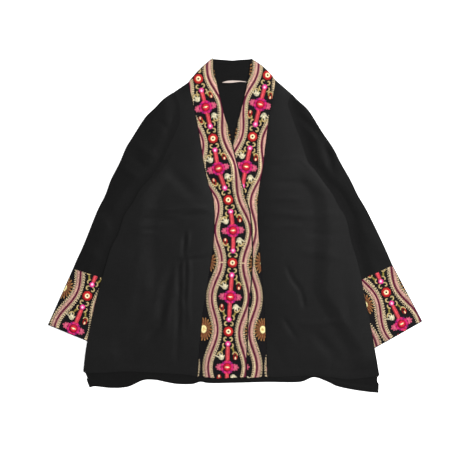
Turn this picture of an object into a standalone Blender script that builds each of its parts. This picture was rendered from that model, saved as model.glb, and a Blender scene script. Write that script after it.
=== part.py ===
"""A collarless silk jacket laid flat, front side up, with its sleeves tucked under its sides.

The tables are in millimetres. +X is the viewer's right, which is the wearer's left, +Y runs from
the hem to the neck and +Z points up from the surface that the jacket lies on. Each piece of cloth
is one closed wall between a lower and an upper sheet of points, and the pieces lie on each other
in this order: sleeves and cuffs, back panel, neck band and facing, fronts, left band, right band.
"""

from typing import NamedTuple

import bmesh
import bpy
import numpy as np

MM = 0.001

# Cloth thicknesses and the clearances between pieces
CLOTH = 1.0
CUFF_CLOTH = 1.2
BAND_CLOTH = 1.6
LABEL_CLOTH = 0.6
SEAM = 0.3
LAYER_GAP = 0.3

# How the layers rise over each other
SIDE_LIFT = 3.2
SLEEVE_PUFF = 2.1
FRONT_PUFF = 1.9
NECK_LIFT = 1.45
OVERLAP_LIFT = 2.2

# Grid of the body: rows from shoulder to front hem, columns across a front and a band
ROWS = 26
FRONT_COLUMNS = 12
BAND_COLUMNS = 7
ARMHOLE_ROWS = 10
UNDERARM_STATIONS = 4
HEAD_SHARE = 0.35
SECTION_STEPS = 8
CURVE_STEPS = 12


class BandRow(NamedTuple):
    """Where the two front bands' edges lie at one height."""

    y: float
    right_seam: float
    right_edge: float
    left_edge: float
    left_seam: float


class Fold(NamedTuple):
    """A soft ridge between two places, or a trough where its height is negative."""

    x0: float
    y0: float
    x1: float
    y1: float
    half_width: float
    height: float


class NeckRow(NamedTuple):
    """One section across the back neck, from the neck seam up to the band's folded edge."""

    seam_x: float
    seam_y: float
    fold_x: float
    fold_y: float


BAND_ROWS = [
    BandRow(298, -100.3, -37.3, 23.5, 86.5),
    BandRow(241, -87.4, -23.4, 9.4, 74.9),
    BandRow(208, -81.3, -13.3, 1.0, 71.3),
    BandRow(166, -74.5, -4.5, -6.1, 66.0),
    BandRow(126, -67.9, 5.8, -13.1, 61.5),
    BandRow(89, -59.1, 14.6, -19.4, 54.4),
    BandRow(56, -48.5, 24.0, -24.3, 50.3),
    BandRow(15, -46.3, 33.4, -27.0, 49.7),
    BandRow(-50, -49.4, 37.2, -29.9, 54.1),
    BandRow(-120, -59.5, 35.1, -32.0, 59.3),
    BandRow(-208, -73.0, 27.6, -34.2, 65.7),
    BandRow(-334, -83.7, 24.1, -37.5, 71.3),
]

# Tops of the bands' four edges, on the fold over the shoulders
RIGHT_SEAM_TOP = (-103.5, 313.0)
RIGHT_EDGE_TOP = [(-49.4, 367.3), (-45.4, 337.4)]
LEFT_EDGE_TOP = [(33.8, 366.4), (31.0, 335.0)]
LEFT_SEAM_TOP = (88.6, 318.5)

# Armhole seam, then the body's free side edge, from the shoulder to the front hem
RIGHT_SIDE = [(-135, 292), (-123, 267), (-122, 227), (-131, 203), (-143, 179), (-162, 137),
              (-189, 100), (-209, 78), (-225, 49), (-244, 20), (-256, -17), (-273, -52),
              (-287, -98), (-298, -136), (-310, -184), (-322, -239), (-329, -280), (-334, -322)]
LEFT_SIDE = [(123, 289), (116, 267), (120, 252), (130, 223), (144, 186), (160, 139), (175, 121),
             (195, 93), (214, 67), (226, 43), (243, 14), (255, -37), (267, -76), (277, -116),
             (284, -155), (294, -202), (304, -257), (311, -296), (317, -330)]

# Folded outer edge of each sleeve, from beside the shoulder to the cuff seam
RIGHT_OUTER = [(-139, 290), (-159, 276), (-176, 258), (-194, 241), (-207, 223), (-229, 188),
               (-240, 170), (-255, 135), (-273, 100), (-286, 65), (-304, 29), (-332, -41),
               (-348, -76), (-356, -95)]
LEFT_OUTER = [(127, 286), (136, 276), (156, 258), (169, 241), (191, 205), (215, 170), (233, 135),
              (253, 100), (270, 65), (290, 29), (323, -41), (342, -89)]
# Share of the outer edge that lies above the underarm
RIGHT_ARMHOLE_SHARE = 0.68
LEFT_ARMHOLE_SHARE = 0.70
# Hidden fold with the underarm seam, from below the armhole to the cuff seam
RIGHT_UNDERARM = [(-227, 0), (-228.5, -60), (-230, -135)]
LEFT_UNDERARM = [(224, -5), (221, -70), (218, -147)]
# Open end of each cuff: outer corner, then the corner hidden under the body
RIGHT_CUFF_END = [(-411, -218), (-289, -269)]
LEFT_CUFF_END = [(410.4, -209.6), (294.7, -274.2)]

RIGHT_HEM = [(-323, -325), (-280, -324.5), (-240, -322), (-176, -325), (-110, -329)]
LEFT_HEM = [(103, -334), (160, -331.5), (202, -334), (233, -338), (257, -339), (284, -336),
            (306, -333)]
BACK_HEM = [(-320, -357), (-307, -354), (-272, -357), (-236, -354), (-202, -339), (-175, -339),
            (-150, -344), (-125, -348), (-94, -348), (-76, -343), (-54, -347), (11, -345),
            (70, -343), (141, -344), (173, -333), (204, -343), (224, -353), (258, -360),
            (292, -366), (315, -369)]
# Rows of the back below the front hem: share of the way down, inset at the two side vents
VENT_ROWS = [(0.2, 9.0), (0.6, 2.0), (1.0, 0.0)]

NECK_ROWS = [
    NeckRow(-93, 312.4, -92.5, 322.5),
    NeckRow(-48, 309.2, -50.0, 365.0),
    NeckRow(-28, 309.4, -30.0, 363.6),
    NeckRow(-5, 311.0, -6.0, 361.6),
    NeckRow(16, 312.6, 15.0, 363.6),
    NeckRow(34, 313.9, 33.5, 364.5),
    NeckRow(79, 317.6, 79.0, 325.0),
]
NECK_SEAM = 0.4
NECK_STEPS = 3

LABEL_ENDS = (-28.0, 25.0)
LABEL_Y = 313.5
LABEL_HEIGHT = 6.5
LABEL_COLUMNS = 8

FRONT_FOLDS = [
    Fold(-107, -15, -108, -59, 22, -1.9), Fold(-108, -59, -119, -208, 24, -1.9),
    Fold(-119, -208, -127, -292, 20, -1.4), Fold(-84, -40, -92, -190, 20, 0.9),
    Fold(-130, -78, -182, -219, 30, -1.6), Fold(-170, -70, -215, -190, 30, 0.8),
    Fold(-126, -74, -62, -67, 16, -0.9), Fold(-200, -20, -120, 10, 22, 0.8),
    Fold(-190, 20, -100, 44, 20, -1.0), Fold(116, -100, 147, -140, 22, -1.5),
    Fold(147, -140, 150, -175, 20, -1.2), Fold(105, -208, 150, -252, 22, -1.4),
    Fold(125, -175, 175, -215, 22, 0.8), Fold(112, 151, 169, 115, 20, -1.2),
    Fold(90, 20, 190, 40, 24, -0.9), Fold(182, -240, 230, -310, 26, -1.2),
    Fold(-290, -310, -270, -285, 18, -1.0), Fold(-230, -314, -215, -285, 18, -1.1),
]
SLEEVE_FOLDS = [
    Fold(144, 236, 195, 178, 18, -1.1), Fold(195, 178, 217, 115, 18, -1.1),
    Fold(165, 215, 225, 150, 16, 0.8), Fold(225, 90, 262, 10, 24, -0.8),
    Fold(285, -10, 318, -70, 22, 0.7), Fold(-220, 174, -176, 152, 20, 0.9),
    Fold(-248, 128, -213, 108, 20, 0.9), Fold(-225, 150, -195, 125, 16, -0.9),
    Fold(-290, 30, -250, -20, 24, -0.8), Fold(-330, -50, -290, -80, 22, 0.7),
]


def smooth_step(value):
    """Rises from 0 to 1 with a soft start and end."""
    clipped = np.clip(value, 0.0, 1.0)
    return clipped * clipped * (3.0 - 2.0 * clipped)


def smooth_curve(points):
    """Dense line along a smooth curve through the points."""
    knots = np.array(points, dtype=float)
    padded = np.vstack([2 * knots[0] - knots[1], knots, 2 * knots[-1] - knots[-2]])
    line = []
    for before, start, end, after in zip(padded, padded[1:], padded[2:], padded[3:]):
        for step in range(CURVE_STEPS):
            t = step / CURVE_STEPS
            bend = 2 * before - 5 * start + 4 * end - after
            twist = 3 * start - before - 3 * end + after
            line.append(start + 0.5 * t * ((end - before) + t * (bend + t * twist)))
    line.append(knots[-1])
    return np.array(line)


def spread(line, shares):
    """Points at the given shares of a line's length."""
    steps = np.linalg.norm(np.diff(line, axis=0), axis=1)
    length = np.concatenate([[0.0], np.cumsum(steps)])
    wanted = np.asarray(shares) * length[-1]
    return np.stack([np.interp(wanted, length, line[:, axis]) for axis in (0, 1)], axis=1)


def even(count):
    """Even shares from 0 to 1."""
    return np.linspace(0.0, 1.0, count + 1)


def seam_line(top_points, column):
    """One of the bands' four edges as a smooth line from the shoulder fold to the hem."""
    return smooth_curve(list(top_points) + [(getattr(row, column), row.y) for row in BAND_ROWS])


def patch(first, last, top, bottom):
    """Fills the four edges of a panel with a grid of points, rows running from top to bottom."""
    rows, columns = len(first), len(top)
    down = even(rows - 1)[:, None, None]
    across = even(columns - 1)[None, :, None]
    sides = (1 - across) * first[:, None] + across * last[:, None]
    ends = (1 - down) * top[None] + down * bottom[None]
    upper = (1 - across) * top[0] + across * top[-1]
    lower = (1 - across) * bottom[0] + across * bottom[-1]
    return sides + ends - (1 - down) * upper - down * lower


def fold_heights(points, folds):
    """Sum of the soft ridges and troughs at each point."""
    total = np.zeros(points.shape[:-1])
    for fold in folds:
        start = np.array([fold.x0, fold.y0])
        run = np.array([fold.x1, fold.y1]) - start
        share = np.clip((points - start) @ run / (run @ run), 0.0, 1.0)
        distance = np.linalg.norm(points - start - share[..., None] * run, axis=-1)
        total += fold.height * (1.0 - np.clip(distance / fold.half_width, 0.0, 1.0) ** 2) ** 2
    return total


def add_heights(points, heights):
    """Joins a grid of places with their heights."""
    return np.concatenate([points, np.asarray(heights)[..., None]], axis=-1)


def make_material(name, colour, roughness):
    """Principled material of one cloth."""
    material = bpy.data.materials.new(name)
    material.use_nodes = True
    shader = material.node_tree.nodes["Principled BSDF"]
    shader.inputs["Base Color"].default_value = (*colour, 1.0)
    shader.inputs["Roughness"].default_value = roughness
    return material


def make_wall(name, lower, upper, material):
    """Closed wall between two sheets of points that have the same rows and columns."""
    rows, columns = lower.shape[:2]
    mesh = bmesh.new()
    low = [[mesh.verts.new(point * MM) for point in row] for row in lower]
    high = [[mesh.verts.new(point * MM) for point in row] for row in upper]

    def add_cell(a, b, c, d):
        mesh.faces.new((a, b, c))
        mesh.faces.new((a, c, d))

    for i in range(rows - 1):
        for j in range(columns - 1):
            add_cell(low[i][j], low[i + 1][j], low[i + 1][j + 1], low[i][j + 1])
            add_cell(high[i][j], high[i + 1][j], high[i + 1][j + 1], high[i][j + 1])
    for i in range(rows - 1):
        for j in (0, columns - 1):
            add_cell(low[i][j], low[i + 1][j], high[i + 1][j], high[i][j])
    for j in range(columns - 1):
        for i in (0, rows - 1):
            add_cell(low[i][j], low[i][j + 1], high[i][j + 1], high[i][j])
    bmesh.ops.recalc_face_normals(mesh, faces=mesh.faces[:])
    data = bpy.data.meshes.new(name)
    mesh.to_mesh(data)
    mesh.free()
    data.shade_smooth()
    data.set_sharp_from_angle(angle=np.radians(40))
    data.materials.append(material)
    piece = bpy.data.objects.new(name, data)
    bpy.context.collection.objects.link(piece)
    return piece


class Side:
    """One side of the jacket: its armhole, side edge, sleeve and cuff lines."""

    def __init__(self, sign, side, outer, share, underarm, cuff_end):
        self.sign = sign
        self.edge = spread(smooth_curve(side), even(ROWS))
        self.outer = smooth_curve(outer)
        self.share = share
        self.underarm = np.array(underarm, dtype=float)
        self.cuff_end = np.array(cuff_end, dtype=float)
        armpit = self.edge[ARMHOLE_ROWS]
        hidden = np.vstack([armpit, self.underarm, self.cuff_end[1]])
        self.hidden_y = np.concatenate([hidden[::-1, 1], self.edge[ARMHOLE_ROWS - 1::-1, 1]])
        self.hidden_x = np.concatenate([hidden[::-1, 0], self.edge[ARMHOLE_ROWS - 1::-1, 0]])

    def outside(self, points):
        """How far points lie outside the armhole seam and the side edge."""
        edge_x = np.interp(points[..., 1], self.edge[::-1, 1], self.edge[::-1, 0])
        return self.sign * (points[..., 0] - edge_x) * 0.85

    def lift(self, points):
        """How far the sleeve raises the back panel above the surface."""
        hidden_x = np.interp(points[..., 1], self.hidden_y, self.hidden_x)
        over = self.sign * (points[..., 0] - hidden_x)
        armpit_y = self.edge[ARMHOLE_ROWS, 1]
        above = smooth_step((armpit_y + 80 - points[..., 1]) / 64)
        below = smooth_step((points[..., 1] - self.cuff_end[1, 1] + 64) / 52)
        return SIDE_LIFT * smooth_step((over + 52) / 40) * above * below

    def sleeve_stations(self):
        """Inner and outer end of each section across the sleeve, from shoulder to cuff."""
        head = self.edge[0] + HEAD_SHARE * (self.edge[1] - self.edge[0])
        seam = np.vstack([head, self.edge[1:ARMHOLE_ROWS + 1]])
        seam[:, 0] += self.sign * SEAM * 1.5
        hidden = spread(np.vstack([seam[-1], self.underarm]), even(UNDERARM_STATIONS))
        upper = self.share * even(len(seam) - 1)
        lower = self.share + (1 - self.share) * even(UNDERARM_STATIONS)
        outer = spread(self.outer, np.concatenate([upper, lower[1:]]))
        return np.vstack([seam, hidden[1:]]), outer

    def cuff_stations(self):
        """Inner and outer end of each section across the cuff."""
        start = np.array([self.outer[-1], self.underarm[-1]])
        down = (self.cuff_end - start) / np.linalg.norm(self.cuff_end - start, axis=1)[:, None]
        start = start + down * SEAM
        steps = even(UNDERARM_STATIONS)[:, None]
        outer = start[0] + steps * (self.cuff_end[0] - start[0])
        inner = start[1] + steps * (self.cuff_end[1] - start[1])
        return inner, outer

    def tube_top(self, points, cloth):
        """Height of a sleeve's or cuff's upper surface, thin where it lies under the body."""
        folded = 2 * cloth + LAYER_GAP
        outside = self.outside(points)
        rise = smooth_step((outside - 5) / 25)
        folds = fold_heights(points, SLEEVE_FOLDS) * smooth_step((outside - 4) / 14)
        return folded + SLEEVE_PUFF * rise + np.maximum(folds, -0.55 * SLEEVE_PUFF * rise)


def make_folded_tube(name, side, stations, cloth, material):
    """Sleeve or cuff: a strip folded along its outer edge, its two inner edges one on the other."""
    inner_end, outer_end = stations
    width = np.linalg.norm(outer_end - inner_end, axis=1)[:, None]
    across = (outer_end - inner_end) / width
    near_fold = outer_end - 3.0 * across
    rim = side.tube_top(near_fold, cloth)[:, None]
    radius = rim / 2
    flat = (width - radius) * even(SECTION_STEPS)[None]
    places = inner_end[:, None] + flat[..., None] * across[:, None]
    top = side.tube_top(places, cloth)
    top[:, -1] = rim[:, 0]
    turn = np.radians([60.0, 20.0, -20.0, -60.0])[None]

    def bend(shrink):
        reach = width - radius + (radius - shrink) * np.cos(turn)
        height = radius + (radius - shrink) * np.sin(turn)
        return add_heights(inner_end[:, None] + reach[..., None] * across[:, None], height)

    def loop(shrink):
        upper = add_heights(places, top - shrink)
        lower = add_heights(places[:, ::-1], np.full(top.shape, shrink))
        return np.concatenate([upper, bend(shrink), lower], axis=1)

    return make_wall(name, loop(cloth), loop(0.0), material)


class Body:
    """Grid that the back panel, the fronts and the bands share, and the heights on it."""

    def __init__(self, right, left):
        self.right = right
        self.left = left
        self.right_seam = spread(seam_line([RIGHT_SEAM_TOP], "right_seam"), even(ROWS))
        self.left_seam = spread(seam_line([LEFT_SEAM_TOP], "left_seam"), even(ROWS))
        self.right_edge = spread(seam_line(RIGHT_EDGE_TOP, "right_edge"), even(ROWS))
        self.left_edge = spread(seam_line(LEFT_EDGE_TOP, "left_edge"), even(ROWS))

    def lift(self, points):
        """How far both sleeves raise the back panel."""
        return self.right.lift(points) + self.left.lift(points)

    def front_base(self, points):
        """Lower surface of what lies on the back panel or, at the neck, on the facing."""
        near_neck = smooth_step((125 - np.abs(points[..., 0])) / 30)
        neck = NECK_LIFT * smooth_step((points[..., 1] - 262) / 36) * near_neck
        return self.lift(points) + CLOTH + LAYER_GAP + neck

    def front_grid(self, seam, edge, hem, seam_shift):
        """Places of a front panel, from its side edge to its band seam."""
        top = spread(np.array([edge[0], seam[0]]), even(FRONT_COLUMNS))
        bottom = spread(smooth_curve([edge[-1]] + hem + [seam[-1]]), even(FRONT_COLUMNS))
        grid = patch(edge, seam, top, bottom)
        trimmed = grid.copy()
        trimmed[:, -1, 0] += seam_shift
        return grid, trimmed

    def back_grid(self, right_grid, left_grid):
        """Places of the back panel, as wide as both fronts, and longer at the hem."""
        neck = np.array([(row.seam_x, row.seam_y - NECK_SEAM) for row in NECK_ROWS])
        top = np.vstack([self.right_seam[0], neck, self.left_seam[0]])
        bottom_ends = np.array([self.right_seam[-1], self.left_seam[-1]])
        bottom = spread(bottom_ends, even(len(top) - 1))
        centre = patch(self.right_seam, self.left_seam, top, bottom)
        joined = np.concatenate([right_grid, centre[:, 1:-1], left_grid[:, ::-1]], axis=1)
        front_hem = joined[-1]
        share = (front_hem[:, 0] - front_hem[0, 0]) / (front_hem[-1, 0] - front_hem[0, 0])
        back_hem = spread(smooth_curve(BACK_HEM), share)
        rows = [joined]
        for way, inset in VENT_ROWS:
            row = front_hem + way * (back_hem - front_hem)
            row[0, 0] += inset
            row[-1, 0] -= inset
            rows.append(row[None])
        return np.concatenate(rows, axis=0)


def make_sheet(name, places, bottom, cloth, material):
    """Panel that lies over what is below it, its wall as thick as its cloth."""
    lower = add_heights(places, bottom)
    return make_wall(name, lower, lower + np.array([0.0, 0.0, cloth]), material)


def make_back(body, right_grid, left_grid, material):
    """Back panel, flat on the surface but for its sides, which lie on the sleeves."""
    places = body.back_grid(right_grid, left_grid)
    return make_sheet("back_panel", places, body.lift(places), CLOTH, material)


def make_front(name, body, grid, trimmed, material):
    """Front panel with its largest folds."""
    down = even(grid.shape[0] - 1)[:, None]
    across = even(grid.shape[1] - 1)[None]
    cover = (1 - (2 * across - 1) ** 4) * (1 - (2 * down - 1) ** 8)
    folds = np.maximum((FRONT_PUFF + fold_heights(grid, FRONT_FOLDS)) * cover, 0.0)
    return make_sheet(name, trimmed, body.front_base(grid) + folds, CLOTH, material)


def make_bands(body, cloth_material):
    """Two front bands: the right one climbs from its seam and lies over the left one."""
    pieces = []
    shares = even(BAND_COLUMNS)
    for name, seam, edge in (("band_left", body.left_seam, body.left_edge),
                             ("band_right", body.right_seam, body.right_edge)):
        top = spread(np.array([seam[0], edge[0]]), shares)
        bottom = spread(np.array([seam[-1], edge[-1]]), shares)
        places = patch(seam, edge, top, bottom)
        places[:, 0, 0] += SEAM * np.sign(edge[-1, 0] - seam[-1, 0])
        height = body.front_base(places)
        if name == "band_right":
            heights_y = places[..., 1]
            under_x = np.interp(heights_y, body.left_edge[::-1, 1], body.left_edge[::-1, 0])
            seam_x = np.interp(heights_y, seam[::-1, 1], seam[::-1, 0])
            climb = (places[..., 0] - seam_x) / np.maximum(under_x - 8.0 - seam_x, 8.0)
            height = height + OVERLAP_LIFT * smooth_step(climb)
        pieces.append(make_sheet(name, places, height, BAND_CLOTH, cloth_material))
    return pieces


def make_neck(band_material, facing_material, label_material):
    """Neck band with its right side down, its black facing on top, and the blank label strip."""
    seam = np.array([(row.seam_x, row.seam_y) for row in NECK_ROWS])
    fold = np.array([(row.fold_x, row.fold_y) for row in NECK_ROWS])
    steps = even(NECK_STEPS)[:, None, None]
    places = fold[None] + steps * (seam - fold)[None]
    level = np.zeros(places.shape[:2])
    facing_level = CLOTH + LAYER_GAP
    label_level = facing_level + CLOTH + LAYER_GAP
    label_x = np.linspace(*LABEL_ENDS, LABEL_COLUMNS + 1)
    bulge = np.sin(np.pi * np.linspace(0.12, 0.88, LABEL_COLUMNS + 1))
    half = 0.5 * LABEL_HEIGHT * bulge
    rows = [np.stack([label_x, LABEL_Y + side * half], axis=1) for side in (1, -1)]
    strip = np.array(rows)
    label_bottom = np.full(strip.shape[:2], label_level)
    return [
        make_sheet("neck_band", places, level, CLOTH, band_material),
        make_sheet("neck_facing", places, level + facing_level, CLOTH, facing_material),
        make_sheet("label_strip", strip, label_bottom, LABEL_CLOTH, label_material),
    ]


def centre_on_origin(pieces):
    """Moves every piece so that the box round them stands on the origin."""
    corners = np.array([vertex.co for piece in pieces for vertex in piece.data.vertices])
    low, high = corners.min(axis=0), corners.max(axis=0)
    shift = np.array([(low[0] + high[0]) / 2, (low[1] + high[1]) / 2, low[2]])
    for piece in pieces:
        for vertex in piece.data.vertices:
            vertex.co = vertex.co - type(vertex.co)(shift)


def main():
    """Builds the jacket."""
    for item in list(bpy.data.objects):
        bpy.data.objects.remove(item, do_unlink=True)
    silk = make_material("black_silk", (0.016, 0.016, 0.018), 0.45)
    embroidery = make_material("embroidered_band", (0.20, 0.14, 0.10), 0.6)
    label = make_material("label_tape", (0.75, 0.66, 0.64), 0.6)
    right = Side(-1, RIGHT_SIDE, RIGHT_OUTER, RIGHT_ARMHOLE_SHARE, RIGHT_UNDERARM, RIGHT_CUFF_END)
    left = Side(1, LEFT_SIDE, LEFT_OUTER, LEFT_ARMHOLE_SHARE, LEFT_UNDERARM, LEFT_CUFF_END)
    body = Body(right, left)
    right_grid, right_front = body.front_grid(body.right_seam, right.edge, RIGHT_HEM, -SEAM)
    left_grid, left_front = body.front_grid(body.left_seam, left.edge, LEFT_HEM[::-1], SEAM)
    pieces = [make_back(body, right_grid, left_grid, silk)]
    pieces.append(make_front("front_right", body, right_grid, right_front, silk))
    pieces.append(make_front("front_left", body, left_grid, left_front, silk))
    for word, side in (("right", right), ("left", left)):
        sleeve = side.sleeve_stations()
        cuff = side.cuff_stations()
        pieces.append(make_folded_tube(f"sleeve_{word}", side, sleeve, CLOTH, silk))
        pieces.append(make_folded_tube(f"cuff_{word}", side, cuff, CUFF_CLOTH, embroidery))
    pieces += make_bands(body, embroidery)
    pieces += make_neck(embroidery, silk, label)
    centre_on_origin(pieces)


main()
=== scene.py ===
"""A thin black silk jacket without a collar, laid flat and seen from straight above.

The garment's sizes are in millimetres and every mesh is made in metres. +X is the viewer's right,
which is the wearer's left, +Y runs from hem to neck and +Z points up off the floor. The cloth is
made as walls between two sheets of points. The embroidery is made of single satin stitches, which
a chart places along a line of motifs on each band and cuff.
"""

import logging
import math
from dataclasses import dataclass, field
from enum import Enum
from typing import Callable, NamedTuple

import bpy
import numpy as np
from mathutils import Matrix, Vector

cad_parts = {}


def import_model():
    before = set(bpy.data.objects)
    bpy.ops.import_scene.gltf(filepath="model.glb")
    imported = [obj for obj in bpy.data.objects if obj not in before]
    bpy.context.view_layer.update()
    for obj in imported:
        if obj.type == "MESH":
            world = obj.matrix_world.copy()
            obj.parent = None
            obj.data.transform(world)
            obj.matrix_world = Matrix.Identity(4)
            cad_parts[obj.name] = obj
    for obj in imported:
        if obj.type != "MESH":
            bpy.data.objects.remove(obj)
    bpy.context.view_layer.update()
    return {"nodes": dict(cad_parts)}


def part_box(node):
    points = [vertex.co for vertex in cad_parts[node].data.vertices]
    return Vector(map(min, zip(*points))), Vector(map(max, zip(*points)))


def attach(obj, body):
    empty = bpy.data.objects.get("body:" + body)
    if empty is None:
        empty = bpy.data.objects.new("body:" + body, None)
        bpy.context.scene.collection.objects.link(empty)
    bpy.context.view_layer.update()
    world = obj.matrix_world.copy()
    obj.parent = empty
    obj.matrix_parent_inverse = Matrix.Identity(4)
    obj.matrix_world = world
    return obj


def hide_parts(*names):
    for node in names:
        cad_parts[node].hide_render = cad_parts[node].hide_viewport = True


LOG = logging.getLogger("jacket")
MM = 0.001
ROOT = "root"


class Thread(Enum):
    """The embroidery threads, each with its colour."""

    BEIGE = (228, 204, 164)
    ROSE = (218, 170, 154)
    MAROON = (104, 18, 54)
    OLIVE = (38, 38, 28)
    RED = (200, 34, 32)
    WINE = (128, 12, 36)
    CREAM = (246, 220, 178)
    DARK = (44, 24, 16)
    MAGENTA = (214, 32, 114)
    PURPLE = (140, 32, 112)
    CRIMSON = (190, 18, 48)
    SIDE_PINK = (210, 92, 122)
    CORAL = (222, 66, 80)
    CORAL_LIGHT = (228, 84, 94)
    BUD = (226, 66, 146)
    BUD_LIGHT = (250, 200, 220)
    GOLD = (198, 174, 120)
    MOSS = (148, 134, 60)
    LEAF = (218, 208, 176)
    SLIT = (255, 238, 184)
    RUST = (112, 36, 32)
    UMBER = (52, 26, 20)
    TAN = (178, 130, 76)
    DISC = (246, 224, 164)
    DISC_DARK = (220, 190, 124)


THREADS = tuple(Thread)


class BandRow(NamedTuple):
    """Where the two front bands' edges lie at one height."""

    y: float
    right_seam: float
    right_edge: float
    left_edge: float
    left_seam: float


class Fold(NamedTuple):
    """A soft ridge between two places, or a trough where its height is negative."""

    x0: float
    y0: float
    x1: float
    y1: float
    half_width: float
    height: float


class NeckRow(NamedTuple):
    """One section across the back neck, from the neck seam up to the band's folded edge."""

    seam_x: float
    seam_y: float
    fold_x: float
    fold_y: float


class LabelRow(NamedTuple):
    """How far the label strip reaches above and below its line at one share of its length."""

    share: float
    above: float
    below: float


class StitchRow(NamedTuple):
    """One section of a stitch: where it is, and its shares of the full width and height."""

    share: float
    width: float
    height: float


class Lamp(NamedTuple):
    """A soft square light that looks at the middle of the floor."""

    name: str
    spot: tuple[float, float, float]
    size: float
    power: float


class SleeveRow(NamedTuple):
    """One sleeve: its side, its flat size and area in metres, and where its cuff's motifs stand."""

    word: str
    flat: tuple[float, float]
    area: float
    places: tuple[tuple[float, float], ...]


class BandBorder(NamedTuple):
    """One front band: its node, whether it lies over the other one, and its border."""

    node: str
    on_top: bool
    sun_phases: tuple[float, ...]
    column_spacing: float
    sun_across: float
    places: tuple[tuple[float, float], ...]


class RibbonRow(NamedTuple):
    """One row of stitches in a wavy ribbon, between two distances from its middle."""

    start: float
    end: float
    thread: Thread
    pitch: float
    width: float
    layer: int
    jitter: float


class Leaf(NamedTuple):
    """A leaf, petal or drop: its foot, the way it points, its size and its thread."""

    along: float
    across: float
    angle: float
    length: float
    width: float
    blunt: float
    thread: Thread
    layer: int


class Ring(NamedTuple):
    """A ring or disc of stitches that run outwards from its middle."""

    along: float
    across: float
    inner: float
    outer: float
    stretch: float
    scallops: int
    thread: Thread
    layer: int


class Curl(NamedTuple):
    """A line of short stitches along a smooth curve through a few places."""

    width: float
    thread: Thread
    layer: int
    places: tuple[tuple[float, float], ...]


class Motif(NamedTuple):
    """Shapes that are sewn once for each copy, each mirrored along and across as it says."""

    copies: tuple[tuple[int, int], ...]
    leaves: tuple[Leaf, ...] = ()
    rings: tuple[Ring, ...] = ()
    curls: tuple[Curl, ...] = ()


def srgb(red: int, green: int, blue: int) -> tuple[float, float, float]:
    """Turns a colour from 0 to 255 into the linear values that a shader takes.

    Args:
        red: Red part.
        green: Green part.
        blue: Blue part.

    Returns:
        The three linear parts.
    """
    parts = []
    for part in (red, green, blue):
        share = part / 255
        parts.append(share / 12.92 if share <= 0.04045 else ((share + 0.055) / 1.055) ** 2.4)
    return parts[0], parts[1], parts[2]


class Laid(Enum):
    """Which way up a strip of embroidery lies."""

    FACE_UP = 1
    FACE_DOWN = -1


def smooth_step(value: np.ndarray) -> np.ndarray:
    """Rises from 0 to 1 with a soft start and end."""
    clipped = np.clip(value, 0.0, 1.0)
    return clipped * clipped * (3.0 - 2.0 * clipped)


def with_ends(knots: np.ndarray) -> np.ndarray:
    """Adds a place before the first and one after the last, each in line with its neighbours."""
    return np.vstack([2 * knots[0] - knots[1], knots, 2 * knots[-1] - knots[-2]])


def curve_at(places: tuple, t: np.ndarray | float) -> tuple[np.ndarray, np.ndarray]:
    """Follows a smooth curve between the second and third of four places.

    Args:
        places: The four places, in order.
        t: Share of the way from the second to the third.

    Returns:
        The place there, and how fast it changes with the share.
    """
    before, start, end, after = places
    bend = 2 * before - 5 * start + 4 * end - after
    twist = 3 * start - before - 3 * end + after
    place = start + 0.5 * t * ((end - before) + t * (bend + t * twist))
    return place, 0.5 * ((end - before) + 2 * t * bend + 3 * t * t * twist)


def smooth_curve(points: list | np.ndarray, steps: int = 24) -> np.ndarray:
    """Draws a smooth curve through points.

    Args:
        points: Places on the curve, in order.
        steps: Pieces between each two places.

    Returns:
        A dense line of points.
    """
    knots = with_ends(np.array(points, dtype=float))
    line = []
    for places in zip(knots, knots[1:], knots[2:], knots[3:]):
        line.extend(curve_at(places, step / steps)[0] for step in range(steps))
    return np.array([*line, knots[-2]])


def spread(line: np.ndarray, shares: np.ndarray) -> np.ndarray:
    """Finds the points at given shares of a line's length.

    Args:
        line: Points of the line.
        shares: Shares of its length, from 0 to 1.

    Returns:
        One point for each share.
    """
    steps = np.linalg.norm(np.diff(line, axis=0), axis=1)
    length = np.concatenate([[0.0], np.cumsum(steps)])
    wanted = np.asarray(shares) * length[-1]
    return np.stack([np.interp(wanted, length, line[:, axis]) for axis in (0, 1)], axis=1)


def even(count: int) -> np.ndarray:
    """Even shares from 0 to 1."""
    return np.linspace(0.0, 1.0, count + 1)


def patch(first: np.ndarray, last: np.ndarray, top: np.ndarray, bottom: np.ndarray) -> np.ndarray:
    """Fills the four edges of a panel with a grid of points.

    Args:
        first: Points down the panel's first side.
        last: Points down its last side.
        top: Points along its upper edge.
        bottom: Points along its lower edge.

    Returns:
        Rows of points, from top to bottom.
    """
    down = even(len(first) - 1)[:, None, None]
    across = even(len(top) - 1)[None, :, None]
    sides = (1 - across) * first[:, None] + across * last[:, None]
    ends = (1 - down) * top[None] + down * bottom[None]
    upper = (1 - across) * top[0] + across * top[-1]
    lower = (1 - across) * bottom[0] + across * bottom[-1]
    return sides + ends - (1 - down) * upper - down * lower


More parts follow.
